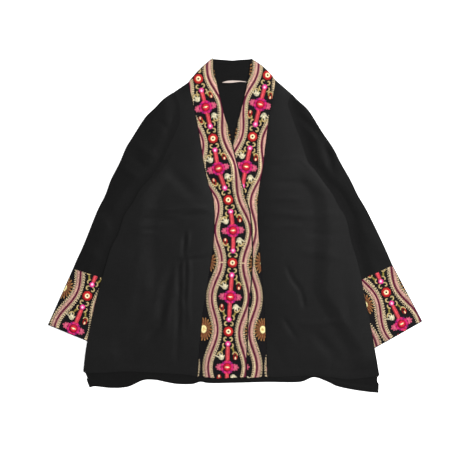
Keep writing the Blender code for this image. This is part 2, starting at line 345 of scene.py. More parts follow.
def fold_heights(points: np.ndarray, folds: tuple[Fold, ...]) -> np.ndarray:
    """Adds up the soft ridges and troughs at each point.

    Args:
        points: Places on the cloth.
        folds: The ridges and troughs.

    Returns:
        A height for each point.
    """
    wander_share, wander_length, wander_shift = 0.22, 2.1, 1.7
    uneven_share, uneven_length = 0.2, 1.3
    end_height, end_power = 0.35, 0.6
    total = np.zeros(points.shape[:-1])
    for number, fold in enumerate(folds):
        start = np.array([fold.x0, fold.y0])
        run = np.array([fold.x1, fold.y1]) - start
        length = np.linalg.norm(run)
        unit = run / length
        along = (points - start) @ unit
        aside = (points - start) @ np.array([-unit[1], unit[0]])
        share = np.clip(along / length, 0.0, 1.0)
        wave = np.sin(along / (wander_length * fold.half_width) + wander_shift * number)
        wander = wander_share * fold.half_width * wave
        distance = np.hypot(along - share * length, aside - wander) / fold.half_width
        fade = end_height + (1.0 - end_height) * np.sin(np.pi * share) ** end_power
        swell = np.sin(along / (uneven_length * fold.half_width) + number)
        uneven = fade * (1.0 + uneven_share * swell)
        total += fold.height * uneven * (1.0 - np.clip(distance, 0.0, 1.0) ** 2) ** 2
    return total


def ripple(points: np.ndarray, lengths: tuple, bends: tuple) -> np.ndarray:
    """Makes waves that cross each other and bend.

    Args:
        points: Places on the cloth.
        lengths: Lengths of the four waves that it is made of.
        bends: How far the waves in each direction bend.

    Returns:
        A value from -1 to 1 for each point.
    """
    x, y = points[..., 0], points[..., 1]
    first = np.sin(x / lengths[0] + bends[0] * np.sin(y / lengths[1]))
    return first * np.sin(y / lengths[2] + bends[1] * np.sin(x / lengths[3]))


def add_heights(points: np.ndarray, heights: np.ndarray) -> np.ndarray:
    """Joins places on the plane with their heights."""
    return np.concatenate([points, np.asarray(heights)[..., None]], axis=-1)


def inside(points: np.ndarray, outline: np.ndarray) -> np.ndarray:
    """Tells which points lie inside an outline.

    Args:
        points: Places to test.
        outline: Corners of the closed outline.

    Returns:
        True for each point inside.
    """
    found = np.zeros(len(points), dtype=bool)
    x, y = points[:, 0], points[:, 1]
    for start, end in zip(outline, np.roll(outline, -1, axis=0)):
        if start[1] == end[1]:
            continue
        crosses = (start[1] > y) != (end[1] > y)
        crossing = (end[0] - start[0]) * (y - start[1]) / (end[1] - start[1]) + start[0]
        found ^= crosses & (x < crossing)
    return found


@dataclass(frozen=True)
class Placement:
    """Moves the garment's own sizes into the frame."""

    shift_x: float
    shift_y: float

    def __call__(self, points: np.ndarray) -> np.ndarray:
        """Turns places in millimetres into places in metres in the frame."""
        return points * MM + np.array([self.shift_x, self.shift_y, 0.0])


def set_inputs(node: bpy.types.Node, values: dict[str, object]) -> None:
    """Sets a node's own input sockets by their names."""
    for name, value in values.items():
        node.inputs[name].default_value = value


def new_material(name: str) -> tuple[bpy.types.Material, bpy.types.Node]:
    """Starts a material.

    Args:
        name: The material's name.

    Returns:
        The material and its Principled shader.
    """
    material = bpy.data.materials.new(name)
    material.use_nodes = True
    return material, material.node_tree.nodes["Principled BSDF"]


def put(name: str, data: bpy.types.ID) -> bpy.types.Object:
    """Puts an object with its mesh, light or camera into the scene."""
    made = bpy.data.objects.new(name, data)
    bpy.context.collection.objects.link(made)
    return made


class NodeKit:
    """Short ways to add and join shader nodes in one tree."""

    def __init__(self, tree: bpy.types.NodeTree) -> None:
        """Keeps the tree that it works on."""
        self.tree = tree

    def add(self, kind: str, inputs: dict[str, object] | None = None,
            **values: object) -> bpy.types.Node:
        """Adds a node.

        Args:
            kind: The node's type.
            inputs: Values for its input sockets.
            **values: Settings on the node itself.

        Returns:
            The new node.
        """
        node = self.tree.nodes.new(kind)
        for name, value in values.items():
            setattr(node, name, value)
        set_inputs(node, inputs or {})
        return node

    def noise(self, scale: float, detail: float,
              place: bpy.types.NodeSocket) -> bpy.types.NodeSocket:
        """Adds a noise texture.

        Args:
            scale: How fine it is.
            detail: How many finer layers it has.
            place: Where it is read.

        Returns:
            Its value.
        """
        node = self.add("ShaderNodeTexNoise", {"Scale": scale, "Detail": detail})
        self.join(place, node.inputs["Vector"])
        return node.outputs[0]

    def join(self, source: bpy.types.NodeSocket, target: bpy.types.NodeSocket) -> None:
        """Links one socket to another."""
        self.tree.links.new(source, target)

    def math(self, operation: str, first: object, second: object = 0.5) -> bpy.types.NodeSocket:
        """Adds a math node with sockets or numbers as its inputs.

        Args:
            operation: What the node works out.
            first: Socket or number.
            second: Socket or number.

        Returns:
            The node's output.
        """
        node = self.add("ShaderNodeMath", operation=operation)
        for index, value in enumerate((first, second)):
            if isinstance(value, bpy.types.NodeSocket):
                self.join(value, node.inputs[index])
            else:
                node.inputs[index].default_value = value
        return node.outputs[0]


def new_group(name: str, inputs: dict[str, float]) -> tuple:
    """Starts a shader node group with named inputs and the outputs Height and Tone.

    Args:
        name: The group's name.
        inputs: Names of its number inputs, with their usual values.

    Returns:
        The group, a kit for its tree, its input node and its output node.
    """
    group = bpy.data.node_groups.new(name, "ShaderNodeTree")
    for socket, value in inputs.items():
        made = group.interface.new_socket(socket, in_out="INPUT", socket_type="NodeSocketFloat")
        made.default_value = value
    for socket in ("Height", "Tone"):
        group.interface.new_socket(socket, in_out="OUTPUT", socket_type="NodeSocketFloat")
    kit = NodeKit(group)
    return group, kit, kit.add("NodeGroupInput"), kit.add("NodeGroupOutput")


def plain_weave_group() -> bpy.types.NodeTree:
    """Makes the weave of warp and weft threads with slubs and a soft change of tone.

    Returns:
        A group with inputs Pitch and Slub and outputs Height and Tone.
    """
    slub_stretches = ((60.0, 900.0, 60.0), (900.0, 60.0, 60.0))
    weave_share, slub_tone, broad_tone = 0.5, 0.8, 0.6
    group, kit, given, result = new_group("plain_weave", {"Pitch": 0.7, "Slub": 0.5})
    place = kit.add("ShaderNodeTexCoord").outputs["Object"]
    split = kit.add("ShaderNodeSeparateXYZ")
    kit.join(place, split.inputs[0])
    waves = []
    for axis in (0, 1):
        turns = kit.math("DIVIDE", 2 * math.pi / MM, given.outputs["Pitch"])
        waves.append(kit.math("SINE", kit.math("MULTIPLY", split.outputs[axis], turns)))
    weave = kit.math("MULTIPLY", waves[0], waves[1])
    slubs = []
    for stretch in slub_stretches:
        mapping = kit.add("ShaderNodeMapping", {"Scale": stretch})
        kit.join(place, mapping.inputs["Vector"])
        slubs.append(kit.noise(1.0, 3.0, mapping.outputs[0]))
    slub = kit.math("MULTIPLY", kit.math("ADD", slubs[0], slubs[1]), given.outputs["Slub"])
    weave = kit.math("MULTIPLY", weave, weave_share)
    kit.join(kit.math("ADD", weave, slub), result.inputs["Height"])
    broad = kit.math("MULTIPLY", kit.noise(9.0, 4.0, place), broad_tone)
    kit.join(kit.math("ADD", kit.math("MULTIPLY", slub, slub_tone), broad), result.inputs["Tone"])
    return group


def thread_fibre_group() -> bpy.types.NodeTree:
    """Makes the fine strands that run along each satin stitch.

    Returns:
        A group with inputs Strands and Uneven and outputs Height and Tone.
    """
    lean, strand_height, strand_tone = 2.2, 0.5, 0.06
    group, kit, given, result = new_group("thread_fibre", {"Strands": 3.0, "Uneven": 0.5})
    coordinate = kit.add("ShaderNodeTexCoord")
    split = kit.add("ShaderNodeSeparateXYZ")
    kit.join(coordinate.outputs["UV"], split.inputs[0])
    turns = kit.math("MULTIPLY", given.outputs["Strands"], 2 * math.pi)
    twist = kit.math("MULTIPLY", split.outputs[0], lean)
    around = kit.math("MULTIPLY", split.outputs[1], turns)
    strand = kit.math("SINE", kit.math("ADD", around, twist))
    kit.join(kit.math("MULTIPLY", strand, strand_height), result.inputs["Height"])
    noise = kit.noise(260.0, 2.0, coordinate.outputs["Object"])
    uneven = kit.math("MULTIPLY", noise, given.outputs["Uneven"])
    streaks = kit.math("MULTIPLY", strand, strand_tone)
    kit.join(kit.math("ADD", uneven, streaks), result.inputs["Tone"])
    return group


@dataclass(frozen=True)
class ClothFinish:
    """Material slot, colour, gloss and weave of a woven cloth."""

    name: str
    slot: str
    dark: tuple[float, float, float]
    light: tuple[float, float, float]
    roughness: float = 0.55
    gloss: float = 0.12
    sheen: float = 0.05
    sheen_roughness: float = 0.4
    bump: float = 0.35
    relief: float = 0.0002
    pitch: float = 0.8
    slub: float = 0.5
    tone_low: float = 0.45
    tone_high: float = 0.95


@dataclass(frozen=True)
class ThreadFinish:
    """Colour, gloss and strands of an embroidery thread."""

    name: str
    dark: tuple[float, float, float]
    light: tuple[float, float, float]
    roughness: float = 0.5
    gloss: float = 0.25
    sheen: float = 0.1
    sheen_roughness: float = 0.4
    bump: float = 0.4
    relief: float = 0.0001
    strands: float = 3.0
    uneven: float = 0.9
    tone_low: float = 0.25
    tone_high: float = 0.65


class Finishes:
    """Builds each material once and hands it out."""

    thread_dark = 0.72
    thread_light = 1.22

    def __init__(self) -> None:
        """Builds the shared node groups."""
        self.weave = plain_weave_group()
        self.fibre = thread_fibre_group()
        self.made: dict[str, bpy.types.Material] = {}

    def textured(self, finish: ClothFinish | ThreadFinish, group: bpy.types.NodeTree,
                 settings: dict[str, float]) -> bpy.types.Material:
        """Builds a cloth or thread material on one of the groups.

        Args:
            finish: Colours and gloss.
            group: The node group for its surface.
            settings: Values for the group's inputs.

        Returns:
            The material.
        """
        if finish.name in self.made:
            return self.made[finish.name]
        material, shader = new_material(finish.name)
        self.made[finish.name] = material
        kit = NodeKit(material.node_tree)
        surface = kit.add("ShaderNodeGroup", node_tree=group)
        set_inputs(surface, settings)
        ramp = kit.add("ShaderNodeMapRange",
                       {"From Min": finish.tone_low, "From Max": finish.tone_high})
        kit.join(surface.outputs["Tone"], ramp.inputs["Value"])
        mix = kit.add("ShaderNodeMix", data_type="RGBA")
        set_inputs(mix, {"A": (*finish.dark, 1.0), "B": (*finish.light, 1.0)})
        kit.join(ramp.outputs[0], mix.inputs["Factor"])
        kit.join(mix.outputs["Result"], shader.inputs["Base Color"])
        bump = kit.add("ShaderNodeBump", {"Strength": finish.bump, "Distance": finish.relief})
        kit.join(surface.outputs["Height"], bump.inputs["Height"])
        kit.join(bump.outputs[0], shader.inputs["Normal"])
        set_inputs(shader, {
            "Roughness": finish.roughness,
            "Specular IOR Level": finish.gloss,
            "Sheen Weight": finish.sheen,
            "Sheen Roughness": finish.sheen_roughness,
            "Sheen Tint": (*finish.light, 1.0),
        })
        return material

    def cloth(self, finish: ClothFinish) -> bpy.types.Material:
        """Gives the material of a woven cloth."""
        return self.textured(finish, self.weave, {"Pitch": finish.pitch, "Slub": finish.slub})

    def thread(self, thread: Thread) -> bpy.types.Material:
        """Gives the material of one embroidery thread."""
        colour = srgb(*thread.value)
        finish = ThreadFinish(
            name=f"thread_{thread.name.lower()}",
            dark=tuple(part * self.thread_dark for part in colour),
            light=tuple(min(1.0, part * self.thread_light) for part in colour),
        )
        settings = {"Strands": finish.strands, "Uneven": finish.uneven}
        return self.textured(finish, self.fibre, settings)


SILK = ClothFinish("black_silk", "black_silk", srgb(8, 8, 8), srgb(16, 16, 16),
                   roughness=0.45, gloss=0.08)
# A darker copy of the black silk for the sleeves: its darker colour is painted shade for how the
# sleeves lie in the light.
SHADED_SLEEVE_SILK = ClothFinish("black_silk_sleeve_painted_shade", "black_silk", srgb(6, 6, 6), srgb(13, 13, 13),
                          roughness=0.48, gloss=0.06)
INNER_SILK = ClothFinish("black_silk_inside", "black_silk", srgb(5, 5, 5), srgb(11, 11, 11),
                         roughness=0.5, gloss=0.06)
GROUND = ClothFinish("band_ground", "embroidered_band", srgb(5, 4, 6), srgb(13, 11, 14),
                     slub=0.3, gloss=0.08)
FACING = ClothFinish("black_facing", "black_silk", srgb(5, 5, 5), srgb(11, 11, 11),
                     pitch=0.6, gloss=0.06)
TAPE = ClothFinish("label_tape", "label_tape", srgb(170, 154, 146), srgb(198, 184, 176),
                   pitch=0.5, sheen=0.0)


class Workshop:
    """Makes meshes from points in millimetres and gives them to the frame."""

    sharp_angle = math.radians(50)

    def __init__(self, place: Placement, finishes: Finishes) -> None:
        """Keeps where things go and what they are finished with."""
        self.place = place
        self.finishes = finishes

    def wall(self, node: str, lower: np.ndarray, upper: np.ndarray,
             finish: ClothFinish) -> bpy.types.Object:
        """Makes a closed wall between two sheets of points, lets it stand for a node and reports it.

        Args:
            node: The node.
            lower: Rows and columns of points on its lower side.
            upper: The same rows and columns on its upper side.
            finish: Its cloth.

        Returns:
            The new object.
        """
        rows, columns = lower.shape[:2]
        half = rows * columns
        index = np.arange(half).reshape(rows, columns)
        points = np.concatenate([lower.reshape(-1, 3), upper.reshape(-1, 3)])
        cells = np.stack([index[:-1, :-1], index[1:, :-1], index[1:, 1:], index[:-1, 1:]], axis=-1)
        low = cells.reshape(-1, 4)
        rim = np.concatenate([index[:, 0], index[-1, 1:], index[-2::-1, -1], index[0, -2:0:-1]])
        after = np.roll(rim, -1)
        edge = np.stack([rim, after, after + half, rim + half], axis=-1)
        faces = np.concatenate([low[:, ::-1], low + half, edge])
        probe = self.place(points)
        first = probe[faces[len(low)]]
        normal = np.cross(first[1] - first[0], first[2] - first[0])
        outward = probe[faces[len(low), 0]] - probe[faces[0, 0]]
        if normal @ outward < 0:
            faces = faces[:, ::-1]
        mesh = bpy.data.meshes.new(f"{node}_cloth")
        mesh.from_pydata(probe.tolist(), [], faces.tolist())
        mesh.shade_smooth()
        mesh.set_sharp_from_angle(angle=self.sharp_angle)
        mesh.materials.append(self.finishes.cloth(finish))
        piece = put(mesh.name, mesh)
        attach(piece, ROOT)
        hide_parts(node)
        LOG.info("%s: %d faces", piece.name, len(faces))
        return piece

    def sheet(self, node: str, places: np.ndarray, bottom: np.ndarray, cloth: float,
              finish: ClothFinish, hem: np.ndarray | float = 0.0) -> bpy.types.Object:
        """Makes a panel that lies over what is below it.

        Args:
            node: The node that it stands for.
            places: Grid of places on the plane.
            bottom: Heights of its lower side.
            cloth: Thickness of the cloth.
            finish: Its cloth.
            hem: Extra thickness where a hem is turned.

        Returns:
            The new object.
        """
        lower = add_heights(places, bottom)
        upper = add_heights(places, bottom + cloth + hem)
        return self.wall(node, lower, upper, finish)


@dataclass
class Side:
    """One side of the jacket: its armhole, side edge, sleeve and cuff lines."""

    sign: int
    side: tuple
    outer: tuple
    armhole_share: float
    underarm: tuple
    cuff_end: tuple
    side_lift: float = 3.2
    lift_above: float = 80.0
    lift_above_fade: float = 64.0
    lift_below: float = 64.0
    lift_below_fade: float = 52.0
    lift_inward: float = 52.0
    lift_inward_fade: float = 40.0
    edge_slope: float = 0.85
    sleeve_puff: float = 2.1
    puff_start: float = 5.0
    puff_fade: float = 25.0
    fold_start: float = 4.0
    fold_fade: float = 14.0
    deepest_trough: float = 0.6
    gap: float = 0.3
    seam_overlap: float = 0.25
    cuff_overlap: float = 0.1
    head_share: float = 0.03
    rim_inset: float = 3.0
    turn_limit: float = 75.0
    turn_steps: int = 11
    tube_columns: int = 26
    cuff_rows: int = 30
    below_rows: int = 36
    fine_steps: int = 5
    coarse_rows: int = 26
    armhole_rows: int = 10
    folds: tuple[Fold, ...] = (
        Fold(144, 236, 195, 178, 12, -1.3), Fold(195, 178, 217, 115, 12, -1.2),
        Fold(165, 215, 225, 150, 12, 0.9), Fold(225, 90, 262, 10, 20, -0.9),
        Fold(285, -10, 318, -70, 18, 0.7), Fold(-220, 174, -176, 152, 14, 1.0),
        Fold(-248, 128, -213, 108, 14, 1.0), Fold(-225, 150, -195, 125, 12, -1.0),
        Fold(-290, 30, -250, -20, 20, -0.9), Fold(-330, -50, -290, -80, 18, 0.7),
        Fold(-170, 232, -140, 205, 10, -0.9), Fold(-134, 240, -150, 190, 9, -0.8),
    )

    def __post_init__(self) -> None:
        """Works out the side's lines."""
        line = smooth_curve(self.side)
        self.edge = spread(line, even(self.coarse_rows * self.fine_steps))
        self.coarse_edge = spread(line, even(self.coarse_rows))
        self.outer_line = smooth_curve(self.outer)
        self.hidden = np.array(self.underarm, dtype=float)
        self.end = np.array(self.cuff_end, dtype=float)
        self.armpit = self.coarse_edge[self.armhole_rows]
        below = np.vstack([self.armpit, self.hidden, self.end[1]])[::-1]
        above = self.coarse_edge[self.armhole_rows - 1::-1]
        self.fold_line = np.vstack([below, above])

    def outside(self, points: np.ndarray) -> np.ndarray:
        """Tells how far points lie outside the armhole seam and the side edge."""
        edge_x = np.interp(points[..., 1], self.edge[::-1, 1], self.edge[::-1, 0])
        return self.sign * (points[..., 0] - edge_x) * self.edge_slope

    def lift(self, points: np.ndarray) -> np.ndarray:
        """Tells how far the sleeve raises the back panel off the floor.

        Args:
            points: Places on the plane.

        Returns:
            A height for each place.
        """
        hidden_x = np.interp(points[..., 1], self.fold_line[:, 1], self.fold_line[:, 0])
        over = self.sign * (points[..., 0] - hidden_x)
        y = points[..., 1]
        above = smooth_step((self.armpit[1] + self.lift_above - y) / self.lift_above_fade)
        below = smooth_step((y - self.end[1, 1] + self.lift_below) / self.lift_below_fade)
        inward = smooth_step((over + self.lift_inward) / self.lift_inward_fade)
        return self.side_lift * inward * above * below

    def tube_top(self, points: np.ndarray, cloth: float) -> np.ndarray:
        """Gives the height of a sleeve's or cuff's upper side.

        Args:
            points: Places on the plane.
            cloth: Thickness of its cloth.

        Returns:
            A height for each place.
        """
        folded = 2 * cloth + self.gap
        outside = self.outside(points)
        puff = self.sleeve_puff * smooth_step((outside - self.puff_start) / self.puff_fade)
        fade = smooth_step((outside - self.fold_start) / self.fold_fade)
        folds = fold_heights(points, self.folds) * fade
        return folded + puff + np.maximum(folds, -self.deepest_trough * puff)

    def sleeve_stations(self) -> tuple[np.ndarray, np.ndarray]:
        """Gives the inner and outer end of each section across the sleeve.

        Returns:
            Inner ends and outer ends, from shoulder to cuff.
        """
        rows = self.armhole_rows * self.fine_steps
        start, after = self.coarse_edge[:2]
        head = start + self.head_share * (after - start)
        seam = spread(np.vstack([head, self.edge[1:rows + 1]]), even(rows))
        seam = seam - np.array([self.sign * self.seam_overlap, 0.0])
        hidden = spread(np.vstack([seam[-1], self.hidden]), even(self.below_rows))
        upper = self.armhole_share * even(rows)
        lower = self.armhole_share + (1 - self.armhole_share) * even(self.below_rows)
        outer = spread(self.outer_line, np.concatenate([upper, lower[1:]]))
        return np.vstack([seam, hidden[1:]]), outer

    def cuff_stations(self, count: int) -> tuple[np.ndarray, np.ndarray]:
        """Gives the inner and outer end of each section across the cuff.

        Args:
            count: Number of steps down the cuff.

        Returns:
            Inner ends and outer ends, from the sleeve seam to the open end.
        """
        start = np.array([self.outer_line[-1], self.hidden[-1]])
        down = (self.end - start) / np.linalg.norm(self.end - start, axis=1)[:, None]
        start = start - down * self.cuff_overlap
        steps = even(count)[:, None]
        outer, inner = (start[end] + steps * (self.end[end] - start[end]) for end in (0, 1))
        return inner, outer

    def cuff_outline(self) -> np.ndarray:
        """Gives the cuff's four corners."""
        inner, outer = self.cuff_stations(1)
        return np.array([outer[0], outer[1], inner[1], inner[0]])

    def tube(self, stations: tuple[np.ndarray, np.ndarray], cloth: float,
             raised: float = 0.0) -> tuple[np.ndarray, np.ndarray]:
        """Makes the two sheets of a strip that is folded along its outer edge.

        Args:
            stations: Inner and outer end of each section.
            cloth: Thickness of the cloth.
            raised: How far the lower side stays off the floor.

        Returns:
            Inner and outer sheet of points.
        """
        inner_end, outer_end = stations
        width = np.linalg.norm(outer_end - inner_end, axis=1)[:, None]
        across = (outer_end - inner_end) / width
        rim = self.tube_top(outer_end - self.rim_inset * across, cloth)[:, None]
        radius = rim / 2
        flat = (width - radius) * even(self.tube_columns)[None]
        places = inner_end[:, None] + flat[..., None] * across[:, None]
        top = self.tube_top(places, cloth)
        top[:, -1] = rim[:, 0]
        turn = np.radians(np.linspace(self.turn_limit, -self.turn_limit, self.turn_steps))[None]

        def loop(shrink: float) -> np.ndarray:
            """Goes round one side of the strip's section."""
            reach = width - radius + (radius - shrink) * np.cos(turn)
            height = radius + (radius - shrink) * np.sin(turn)
            bend = add_heights(inner_end[:, None] + reach[..., None] * across[:, None], height)
            upper = add_heights(places, top - shrink)
            lower = add_heights(places[:, ::-1], np.full(top.shape, shrink))
            sheet = np.concatenate([upper, bend, lower], axis=1)
            sheet[..., 2] = np.maximum(sheet[..., 2], raised + shrink)
            return sheet

        return loop(cloth), loop(0.0)


@dataclass
class Cut:
    """The jacket's own sizes: its panels' edges and how they lie on each other."""

    cloth: float = 1.0
    cuff_cloth: float = 1.2
    band_cloth: float = 1.6
    gap: float = 0.3
    seam: float = 0.3
    front_puff: float = 2.7
    fold_strength: float = 1.6
    neck_lift: float = 1.45
    neck_half_width: float = 125.0
    neck_side_fade: float = 30.0
    neck_start: float = 262.0
    neck_fade: float = 36.0
    overlap_lift: float = 2.2
    overlap_margin: float = 8.0
    shoulder_bulge: tuple[float, float] = (2.6, 4.6)
    band_drop: float = 5.0
    band_drop_share: float = 0.5
    vent_inset: float = 9.0
    vent_rate: float = 2.2
    vent_share: float = 0.45
    rows: int = 130
    tail_rows: int = 10
    front_columns: int = 60
    neck_columns: int = 32
    band_columns: int = 26
    band_rows: tuple[BandRow, ...] = (
        BandRow(298, -100.3, -37.3, 23.5, 86.5), BandRow(241, -87.4, -23.4, 9.4, 74.9),
        BandRow(208, -81.3, -13.3, 1.0, 71.3), BandRow(166, -74.5, -4.5, -6.1, 66.0),
        BandRow(126, -67.9, 5.8, -13.1, 61.5), BandRow(89, -59.1, 14.6, -19.4, 54.4),
        BandRow(56, -48.5, 24.0, -24.3, 50.3), BandRow(15, -46.3, 33.4, -27.0, 49.7),
        BandRow(-50, -49.4, 37.2, -29.9, 54.1), BandRow(-120, -59.5, 35.1, -32.0, 59.3),
        BandRow(-208, -73.0, 27.6, -34.2, 65.7), BandRow(-334, -83.7, 24.1, -37.5, 71.3),
    )
    right_seam_top: tuple = ((-103.5, 313.0),)
    right_edge_top: tuple = ((-49.4, 367.3), (-45.4, 337.4))
    left_edge_top: tuple = ((33.8, 366.4), (31.0, 335.0))
    left_seam_top: tuple = ((88.6, 318.5),)
    right_hem: tuple = ((-323, -325), (-280, -324.5), (-240, -322), (-176, -325), (-110, -329))
    left_hem: tuple = ((306, -333), (284, -336), (257, -339), (233, -338), (202, -334),
                       (160, -331.5), (103, -334))
    back_hem: tuple = ((-320, -357.5), (-307, -355), (-272, -358.5), (-236, -356), (-202, -341.5),
                       (-175, -341), (-150, -346), (-125, -350), (-94, -350), (-76, -345),
                       (-54, -348), (11, -347), (70, -345.5), (141, -345.5), (173, -335),
                       (204, -345), (224, -354.5), (258, -362), (292, -367), (315, -369))
    neck_rows: tuple[NeckRow, ...] = (
        NeckRow(-93, 312.4, -92.5, 322.5), NeckRow(-48, 309.2, -50.0, 365.0),
        NeckRow(-28, 309.4, -30.0, 363.6), NeckRow(-5, 311.0, -6.0, 361.6),
        NeckRow(16, 312.6, 15.0, 363.6), NeckRow(34, 313.9, 33.5, 364.5),
        NeckRow(79, 317.6, 79.0, 325.0),
    )
    neck_seam: float = 0.4
    folds: tuple[Fold, ...] = (
        Fold(-103, -14, -106, -50, 6, 0.7), Fold(-113, -24, -112, -70, 7, -0.9),
        Fold(-121, -80, -123, -160, 10, -1.4), Fold(-123, -160, -128, -240, 10, -1.5),
        Fold(-128, -240, -130, -300, 10, -1.4), Fold(-108, -72, -112, -172, 7, -0.8),
        Fold(-114, -82, -118, -250, 5, 1.0), Fold(-103, -70, -103, -220, 8, 1.0),
        Fold(-121, -80, -59, -69, 6, -1.0), Fold(-118, -72, -60, -61, 6, 0.5),
        Fold(-132, -91, -154, -142, 16, -1.5), Fold(-154, -142, -169, -208, 18, -1.6),
        Fold(-169, -208, -196, -250, 20, -1.5), Fold(-145, -170, -150, -240, 13, 0.9),
        Fold(-185, -90, -205, -190, 20, 0.8), Fold(-225, -100, -240, -200, 24, 0.6),
        Fold(-216, 36, -55, 36, 10, 0.9), Fold(-121, 21, -55, 20, 6, -0.8),
        Fold(-231, 12, -121, 12, 8, -0.8), Fold(-249, -1, -165, -1, 7, 0.8),
        Fold(-246, -10, -172, -10, 5, -0.5), Fold(-246, -19, -172, -19, 7, 0.8),
        Fold(-138, 150, -196, 90, 8, 0.5), Fold(-194, 85, -222, 40, 10, 0.6),
        Fold(-200, -40, -230, -70, 18, -0.8), Fold(-250, -230, -262, -300, 16, -0.8),
        Fold(-150, 120, -90, 60, 20, -0.8), Fold(-130, 60, -80, 58, 9, 0.4),
        Fold(77, 142, 154, 148, 9, 0.5), Fold(66, 57, 143, 57, 9, 0.5),
        Fold(62, 23, 238, 23, 12, 0.6), Fold(158, -19, 246, -19, 9, -0.5),
        Fold(62, -3, 143, -3, 8, 0.5), Fold(150, 140, 209, 71, 9, 0.9),
        Fold(70, 90, 150, 95, 12, -0.6), Fold(114, -94, 128, -120, 8, -0.8),
        Fold(128, -120, 143, -142, 8, -0.8), Fold(143, -142, 150, -180, 8, -0.7),
        Fold(105, -208, 136, -248, 9, -0.7), Fold(143, -215, 246, -215, 9, 0.4),
        Fold(182, -240, 230, -310, 18, -0.9), Fold(140, -60, 230, -70, 14, 0.5),
        Fold(240, -120, 262, -230, 20, -0.7), Fold(85, -260, 110, -310, 20, -0.9),
        Fold(-290, -318, -270, -285, 10, -1.1), Fold(-230, -320, -215, -285, 10, -1.2),
        Fold(-200, -318, -188, -290, 9, -0.9), Fold(205, -325, 214, -295, 9, -0.9),
        Fold(-137, 277, -98, 279, 5, -0.8), Fold(83, 282, 116, 269, 5, -0.8),
    )

    def build_lines(self, right: Side, left: Side) -> None:
        """Works out the panels' shared lines.

        Args:
            right: The wearer's right side.
            left: The wearer's left side.
        """
        self.right = right
        self.left = left
        self.right_seam = self.band_line(self.right_seam_top, "right_seam")
        self.left_seam = self.band_line(self.left_seam_top, "left_seam")
        self.right_edge = self.band_line(self.right_edge_top, "right_edge")
        self.left_edge = self.band_line(self.left_edge_top, "left_edge")

    def band_line(self, top: tuple, column: str) -> np.ndarray:
        """Gives one of the bands' four edges.

        Args:
            top: Its first points, on the fold over the shoulder.
            column: Its column in the table of rows.

        Returns:
            Points from shoulder to hem.
        """
        below = [(getattr(row, column), row.y) for row in self.band_rows]
        return spread(smooth_curve(list(top) + below), even(self.rows))

    def lift(self, points: np.ndarray) -> np.ndarray:
        """Tells how far both sleeves raise the back panel."""
        return self.right.lift(points) + self.left.lift(points)

    def front_base(self, points: np.ndarray) -> np.ndarray:
        """Gives the lower side of what lies on the back panel or on the neck facing."""
        inward = self.neck_half_width - np.abs(points[..., 0])
        near_neck = smooth_step(inward / self.neck_side_fade)
        rise = smooth_step((points[..., 1] - self.neck_start) / self.neck_fade)
        neck = self.neck_lift * rise * near_neck
        return self.lift(points) + self.cloth + self.gap + neck

    def front_grid(self, side: Side, seam: np.ndarray, hem: tuple) -> np.ndarray:
        """Lays out a front panel.

        Args:
            side: The side that it belongs to.
            seam: Its seam with the band.
            hem: Places along its hem, from the side to the band.

        Returns:
            Places from the side edge to the band seam.
        """
        top = spread(np.array([side.edge[0], seam[0]]), even(self.front_columns))
        line = smooth_curve([side.edge[-1], *hem, seam[-1]])
        return patch(side.edge, seam, top, spread(line, even(self.front_columns)))

    def back_grid(self, right_grid: np.ndarray, left_grid: np.ndarray) -> np.ndarray:
        """Lays out the back panel, as wide as both fronts and longer at the hem.

        Args:
            right_grid: Places of the right front.
            left_grid: Places of the left front.

        Returns:
            Places of the back panel.
        """
        neck = np.array([(row.seam_x, row.seam_y - self.neck_seam) for row in self.neck_rows])
        share = even(self.neck_columns)
        top = spread(np.vstack([self.right_seam[0], neck, self.left_seam[0]]), share)
        bottom = spread(np.array([self.right_seam[-1], self.left_seam[-1]]), share)
        centre = patch(self.right_seam, self.left_seam, top, bottom)
        joined = np.concatenate([right_grid, centre[:, 1:-1], left_grid[:, ::-1]], axis=1)
        front_hem = joined[-1]
        share = (front_hem[:, 0] - front_hem[0, 0]) / (front_hem[-1, 0] - front_hem[0, 0])
        back_hem = spread(smooth_curve(self.back_hem), share)
        rows = [joined]
        for way in even(self.tail_rows)[1:]:
            row = front_hem + way * (back_hem - front_hem)
            if way < self.vent_share:
                inset = self.vent_inset * math.sin(math.pi * min(1.0, self.vent_rate * way))
                row[0, 0] += inset
                row[-1, 0] -= inset
            rows.append(row[None])
        return np.concatenate(rows, axis=0)

    def band_grid(self, seam: np.ndarray, edge: np.ndarray) -> np.ndarray:
        """Lays out a front band.

        Args:
            seam: Its seam with the front panel.
            edge: Its free front edge.

        Returns:
            Places from seam to edge.
        """
        share = even(self.band_columns)
        top = spread(np.array([seam[0], edge[0]]), share)
        run = (edge[0] - seam[0]) / np.linalg.norm(edge[0] - seam[0])
        upward = np.array([-run[1], run[0]]) * np.sign(run[0])
        bulge = self.shoulder_bulge[int(run[0] < 0)]
        top = top + bulge * np.sin(np.pi * share)[:, None] * upward
        bottom = spread(np.array([seam[-1], edge[-1]]), share)
        bottom[:, 1] -= self.band_drop * smooth_step(share / self.band_drop_share)
        places = patch(seam, edge, top, bottom)
        places[:, 0, 0] += self.seam * np.sign(edge[-1, 0] - seam[-1, 0])
        return places

    def band_bottom(self, points: np.ndarray, on_top: bool) -> np.ndarray:
        """Gives the height of a band's lower side.

        Args:
            points: Places on the plane.
            on_top: Whether it is the band that lies over the other one.

        Returns:
            A height for each place.
        """
        height = self.front_base(points)
        if not on_top:
            return height
        y = points[..., 1]
        under_x = np.interp(y, self.left_edge[::-1, 1], self.left_edge[::-1, 0])
        seam_x = np.interp(y, self.right_seam[::-1, 1], self.right_seam[::-1, 0])
        margin = self.overlap_margin
        climb = (points[..., 0] - seam_x) / np.maximum(under_x - margin - seam_x, margin)
        return height + self.overlap_lift * smooth_step(climb)


